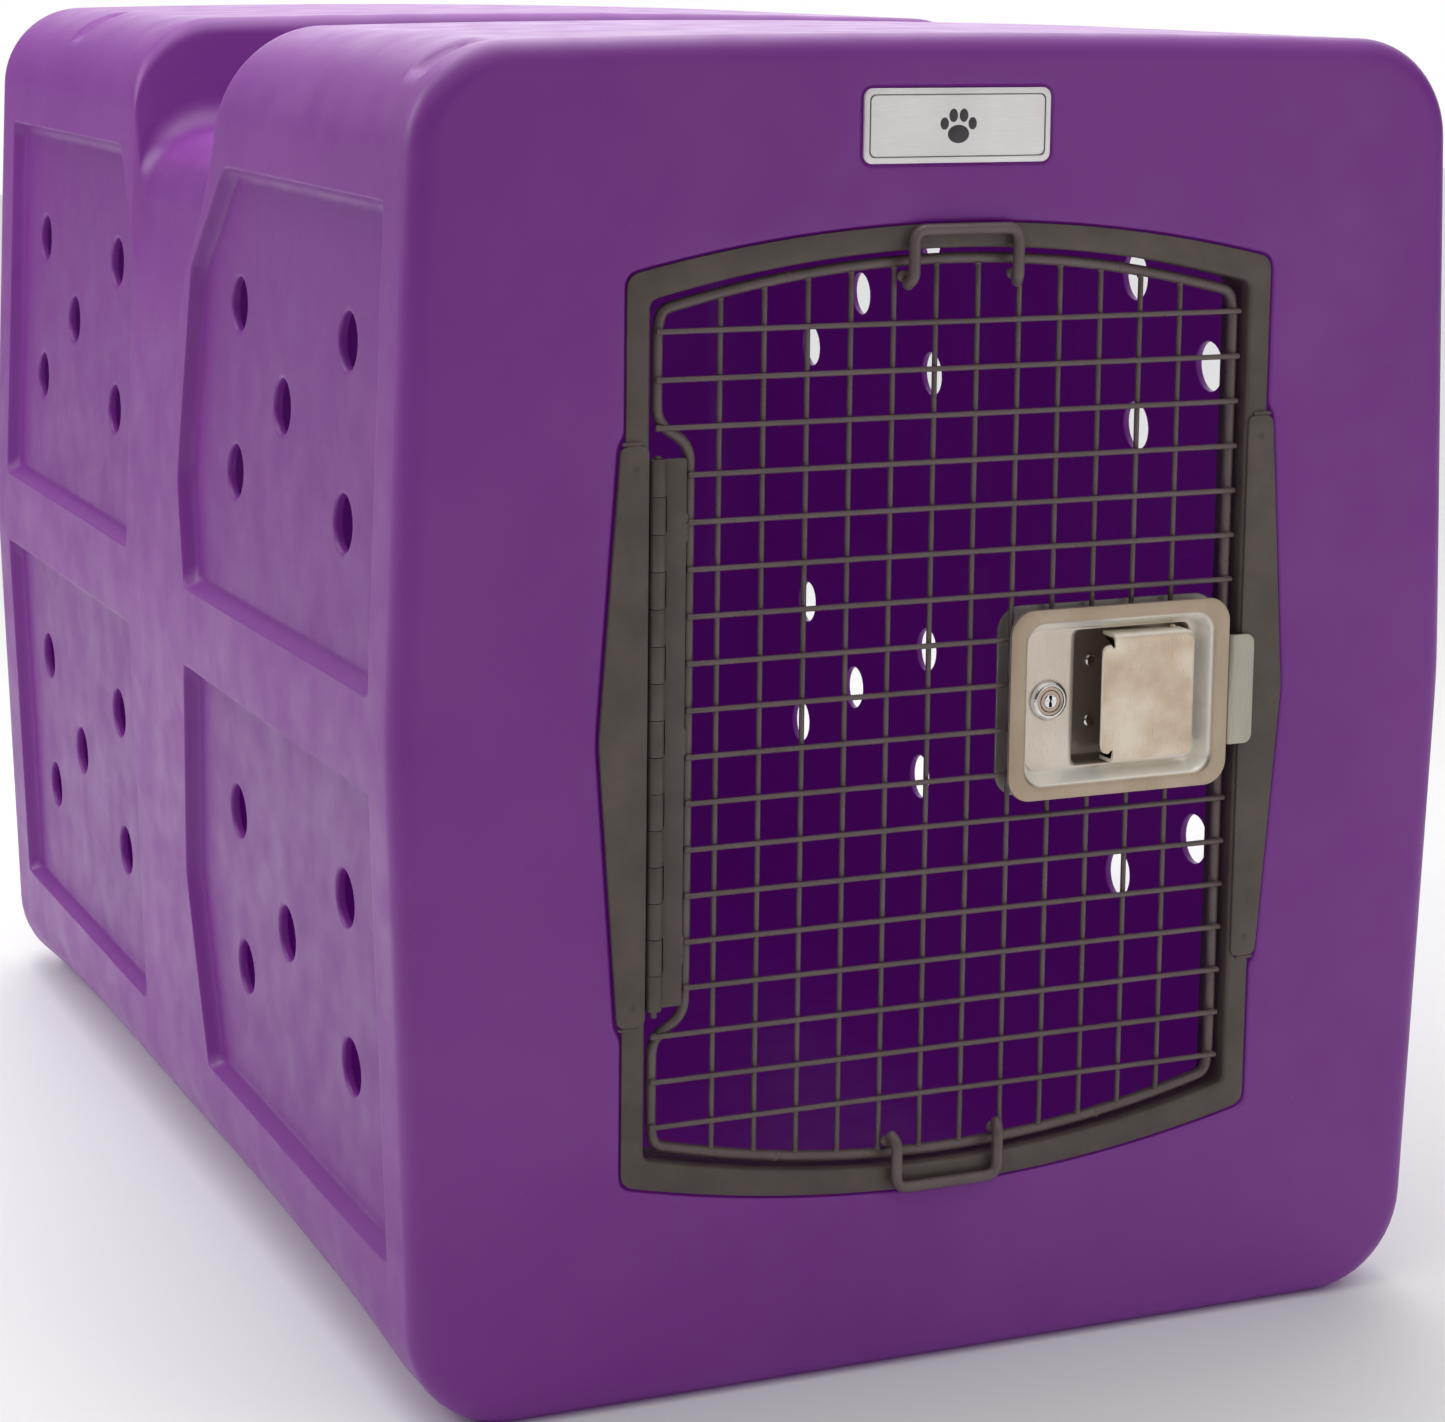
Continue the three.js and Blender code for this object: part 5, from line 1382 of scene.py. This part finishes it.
def make_lock():
    body = Skin()
    profile = [(8.2, 5.25), (8.1, 5.1), (7.9, 5.05), (6.5, 5.05), (6.35, 5.15), (6.3, 5.4), (6.3, 31),
               (8.6, 31), (8.6, 5.6), (8.35, 5.4)]
    rings = [at_y(circle(LOCK_X, LATCH_Z, r, 56), y) for r, y in profile]
    body.loft([*rings, rings[0]])
    piece(body, "lock_body", PLUG_STEEL, "door", ["lock_cylinder"], 35)

    bezel = Skin()
    profile = [(8.7, 7.9), (8.7, 5.8), (8.5, 5.3), (8.35, 4.9), (8.45, 4.62), (8.8, 4.6), (9.4, 4.75),
               (10.1, 5.2), (10.8, 5.9), (11.3, 6.7), (11.6, 7.4), (11.6, 7.9)]
    sides = 4 * FLUTES
    angles = np.arange(sides) * 2 * math.pi / sides
    rings = []
    for r, y in profile:
        flute = FLUTE_DEPTH * max(0.0, 1 - abs(y - 6.0) / 1.5) * (r > 8.7)
        radius = r + flute * np.cos(FLUTES * angles)
        rings.append(np.stack([LOCK_X + radius * np.cos(angles), np.full(sides, y),
                               LATCH_Z + radius * np.sin(angles)], 1))
    bezel.loft([*rings, rings[0]])
    piece(bezel, "lock_bezel", CHROME, "door", [], 45)

    plug = Skin()
    hole = circle(LOCK_X, LATCH_Z, INSERT_R + 0.06, 48)
    plate(plug, circle(LOCK_X, LATCH_Z, PLUG_R, 56), [hole], 5.0, 33.0, 0.25, 3)
    piece(plug, "lock_plug_body", PLUG_STEEL, "lock", ["lock_plug"], 35)

    insert = Skin()
    slot = [(-0.9, -3.3), (0.9, -3.3), (0.9, -1.3), (0.4, -0.7), (0.4, 0.5), (0.9, 1.1), (0.9, 3.3),
            (-0.9, 3.3), (-0.9, 1.7), (-0.35, 1.1), (-0.35, -0.1), (-0.9, -0.8)]
    slot = np.array(slot) + (LOCK_X, LATCH_Z)
    plate(insert, circle(LOCK_X, LATCH_Z, INSERT_R, 48), [slot], 4.9, 16.0, 0.18, 2)
    floor = single(circle(LOCK_X, LATCH_Z, INSERT_R, 48))
    plate(insert, floor, [], 16.0, 17.0, 0.1, 2)
    piece(insert, "lock_keyway", CHROME, "lock", [], 35)

    cam = Skin()
    outline = [(-6, -4), (-4, -12.5), (4, -12.5), (6, -4), (5, 4), (2, 6), (-2, 6), (-5, 4)]
    shape = rounded(outline, 2.2, 5) + (LOCK_X, LATCH_Z)
    plate(cam, shape, [], 33.3, 36, 0.4)
    plate(cam, circle(LOCK_X, LATCH_Z, 3.6, 6), [], 35.8, 38.4, 0.4)
    piece(cam, "lock_cam_plate", STAINLESS, "lock", ["lock_cam"], 40)


def make_tab():
    """Small plate beside the pan, bent round into the leg that is welded to the rim."""
    skin = Skin()
    half, y0, y1 = 31.7, -4.2, -2.2
    corner = 5.2
    corner_x, corner_z = 189.5 - corner, corner - half
    points = [(175.8, -half), (corner_x, -half)]
    points += [(corner_x + corner * math.sin(t), corner_z - corner * math.cos(t))
               for t in np.linspace(0.15, math.pi / 2, 8)]
    points += [(x, -z) for x, z in reversed(points)]
    outline = np.array(points) + (0, LATCH_Z)
    plate(skin, outline, [], y0, y1, 0.5, 3)
    bend = [(176.4, y0), (175.6, y0), (174.6, y0 + 0.35), (173.8, y0 + 1.1), (173.4, y0 + 2.2), (173.4, 5.1),
            (175.3, 5.1), (175.3, y0 + 2.9), (175.6, y1 + 0.2), (176.4, y1)]
    plate(skin, np.array(bend), [], LATCH_Z - half, LATCH_Z + half, 0.35, 2, at_z)
    for z in (-22, 0, 22):
        bead(skin, (174.4, 5.3, LATCH_Z + z - 5), (174.4, 5.3, LATCH_Z + z + 5), 1.2, 4)
    piece(skin, "stop_tab_plate", TAB_STEEL, "door", ["stop_tab"], 40)


RIVET_X, RIVET_Z = 98.6, 17.6


def make_rivets():
    for name, z in (("pan_rivet_upper", RIVET_Z), ("pan_rivet_lower", -RIVET_Z)):
        skin = Skin()
        profile = [(3.0, 24.0), (4.0, 23.9), (4.05, 23.5), (3.75, 22.8), (3.1, 22.2), (2.1, 21.8),
                   (1.0, 21.62)]
        lathe(skin, profile, RIVET_X, LATCH_Z + z, 28)
        piece(skin, name + "_head", RIVET_CHROME, "door", [name])


# ------------------------------------------------------------------ badge
def make_badge():
    """A plate with a thin enamelled border and a plain paw of raised enamel."""
    skin = Skin()
    y0, y1, edge = -0.7, 0.9, 0.5
    outline = round_rect(BADGE_X, BADGE_Z, BADGE_W, BADGE_H, 5, 8)
    rim = [(-edge, y0), (-edge / 2, y0 + 0.07), (-0.07, y0 + edge / 2), (0, y0 + edge), (0, y1)]
    skin.loft(edge_rings(outline, rim))
    outer = single(round_rect(BADGE_X, BADGE_Z, BADGE_W - 6, BADGE_H - 6, 3.5, 8))
    inner = single(round_rect(BADGE_X, BADGE_Z, BADGE_W - 8, BADGE_H - 8, 3, 8))
    floor_outer, floor_inner = single(grown(outer, -0.12)), single(grown(inner, 0.12))
    skin.loft([at_y(outer, y0), at_y(floor_outer, y0 + 0.35)])
    skin.loft([at_y(inner, y0), at_y(floor_inner, y0 + 0.35)])
    face_between(skin, grown(outline, -edge), [outer], y0)
    face_between(skin, floor_outer, [floor_inner], y0 + 0.35)
    face_between(skin, inner, [], y0, 8)
    face_between(skin, outline, [], y1, 10)
    piece(skin, "badge_face", BADGE_METAL, "carrier", ["badge_plate"], 40)
    ink = Skin()
    line = [(-0.2, y0 + 0.08), (-0.2, y0 + 0.34)]
    rings = [at_y(single(grown(floor_outer, by)), y) for by, y in line]
    rings += [at_y(single(grown(floor_inner, -by)), y) for by, y in reversed(line)]
    ink.loft([*rings, rings[0]])
    pads = [(0, -3.6, 6.4, 4.9), (-8.4, 2.0, 2.5, 3.3), (-3.1, 6.3, 2.6, 3.6), (3.1, 6.3, 2.6, 3.6),
            (8.4, 2.0, 2.5, 3.3)]  # each pad's middle and its half sizes
    for x, z, rx, rz in pads:
        oval = circle(0, 0, 1, 32) * (rx, rz) + (BADGE_X + x, BADGE_Z + z - 1)
        plate(ink, oval, [], y0 - 0.12, y0 + 0.2, 0.1, 2)
    piece(ink, "badge_enamel", ENAMEL, "carrier", [], 40)


# ------------------------------------------------------------------ stage, light and camera
CAMERA_AT = (-0.8741, -1.6522, 0.78245)  # from the middle of the shell's front face
CAMERA_TURN = (81.30, -0.51, -22.85)  # degrees
CAMERA_LENS, CAMERA_SHIFT = 86.37, (0.0423, -0.1560)
LIGHTS = [  # name, place, what it looks at, size in metres, watts
    ("top_light", (-0.1, 0.1, 1.7), (0, 0.05, 0.5), (1.4, 1.5), 18),
    ("left_light", (-1.7, 0.75, 1.35), (-0.3, 0.1, 0.4), (1.2, 1.0), 15),
    ("latch_light", (1.0, -1.9, 0.75), (0.1, -0.4, 0.36), (1.2, 1.2), 3),
]


FLOOR_REACH = 9  # metres


def make_floor():
    mesh = bpy.data.meshes.new("floor")
    r = FLOOR_REACH
    mesh.from_pydata([(-r, -r, 0), (r, -r, 0), (r, r, 0), (-r, r, 0)], [], [(0, 1, 2, 3)])
    f = Finish("pale_floor", 0.0, 0.75)
    f.set(Base_Color=f.mix(f.noise(1.3, 3.0), (0.84, 0.84, 0.845), (0.88, 0.88, 0.885)))
    mesh.materials.append(f.material)
    made = bpy.data.objects.new("floor", mesh)
    bpy.context.collection.objects.link(made)


def softbox(name, spot, aim, size, watts):
    light = bpy.data.lights.new(name, "AREA")
    light.shape, light.size, light.size_y = "RECTANGLE", *size
    light.energy = watts
    made = bpy.data.objects.new(name, light)
    made.location = spot
    made.rotation_euler = (Vector(aim) - Vector(spot)).to_track_quat("-Z", "Y").to_euler()
    bpy.context.collection.objects.link(made)


def make_world():
    """White for the camera; soft light on the object, bright from above and behind, faint in front."""
    world = bpy.data.worlds.new("studio")
    world.use_nodes = True
    tree = world.node_tree
    tree.nodes.clear()
    new = tree.nodes.new
    link = tree.links.new
    split = new("ShaderNodeSeparateXYZ")
    link(new("ShaderNodeTexCoord").outputs["Generated"], split.inputs[0])

    def ramp(axis, low, high, to_low, to_high):
        made = new("ShaderNodeMapRange")
        made.interpolation_type = "SMOOTHSTEP"
        for key, value in (("From Min", low), ("From Max", high), ("To Min", to_low), ("To Max", to_high)):
            made.inputs[key].default_value = value
        link(split.outputs[axis], made.inputs["Value"])
        return made.outputs[0]

    def join(operation, first, second):
        made = new("ShaderNodeMath")
        made.operation = operation
        link(first, made.inputs[0])
        link(second, made.inputs[1])
        return made.outputs[0]

    behind = join("MULTIPLY", ramp("Y", 0.15, 0.95, 0.0, 2.1), ramp("X", -0.25, 0.45, 0.0, 1.0))
    above = ramp("Z", 0.2, 1.0, 0.0, 0.9)
    left = ramp("X", 1.0, -1.0, 0.07, 0.08)
    total = join("ADD", join("ADD", behind, above), left)
    soft, white = new("ShaderNodeBackground"), new("ShaderNodeBackground")
    link(total, soft.inputs["Strength"])
    white.inputs["Strength"].default_value = 1.0
    for made in (soft, white):
        made.inputs["Color"].default_value = (1, 1, 1, 1)
    choose, out = new("ShaderNodeMixShader"), new("ShaderNodeOutputWorld")
    link(new("ShaderNodeLightPath").outputs["Is Camera Ray"], choose.inputs[0])
    link(soft.outputs[0], choose.inputs[1])
    link(white.outputs[0], choose.inputs[2])
    link(choose.outputs[0], out.inputs["Surface"])
    bpy.context.scene.world = world


def make_camera():
    data = bpy.data.cameras.new("camera")
    data.sensor_fit, data.sensor_width = "HORIZONTAL", 36
    data.lens = CAMERA_LENS
    data.shift_x, data.shift_y = CAMERA_SHIFT
    data.dof.use_dof = False
    made = bpy.data.objects.new("camera", data)
    x, y, z = CAMERA_AT
    made.location = (x, y + FRONT_Y, z)
    made.rotation_euler = [math.radians(a) for a in CAMERA_TURN]
    bpy.context.collection.objects.link(made)
    bpy.context.scene.camera = made


make_shell()
make_frame()
make_cheek(-1, "hinge_cheek_plate", "hinge_cheek")
make_cheek(1, "strike_cheek_plate", "strike_cheek")
make_rim()
make_wires()
make_loop(1, "stop_loop_top_rod", "stop_loop_top")
make_loop(-1, "stop_loop_bottom_rod", "stop_loop_bottom")
make_leaf("frame", "hinge_frame_leaf_rolled", "hinge_frame_leaf", "carrier")
make_leaf("door", "hinge_door_leaf_rolled", "hinge_door_leaf", "door")
make_pin()
make_pan()
make_backing()
make_paddle()
make_paddle_pin()
make_spring()
make_bolt()
make_lock()
make_tab()
make_rivets()
make_badge()

make_floor()
make_world()
for light in LIGHTS:
    softbox(*light)
make_camera()
bpy.context.scene.view_settings.view_transform = "Standard"
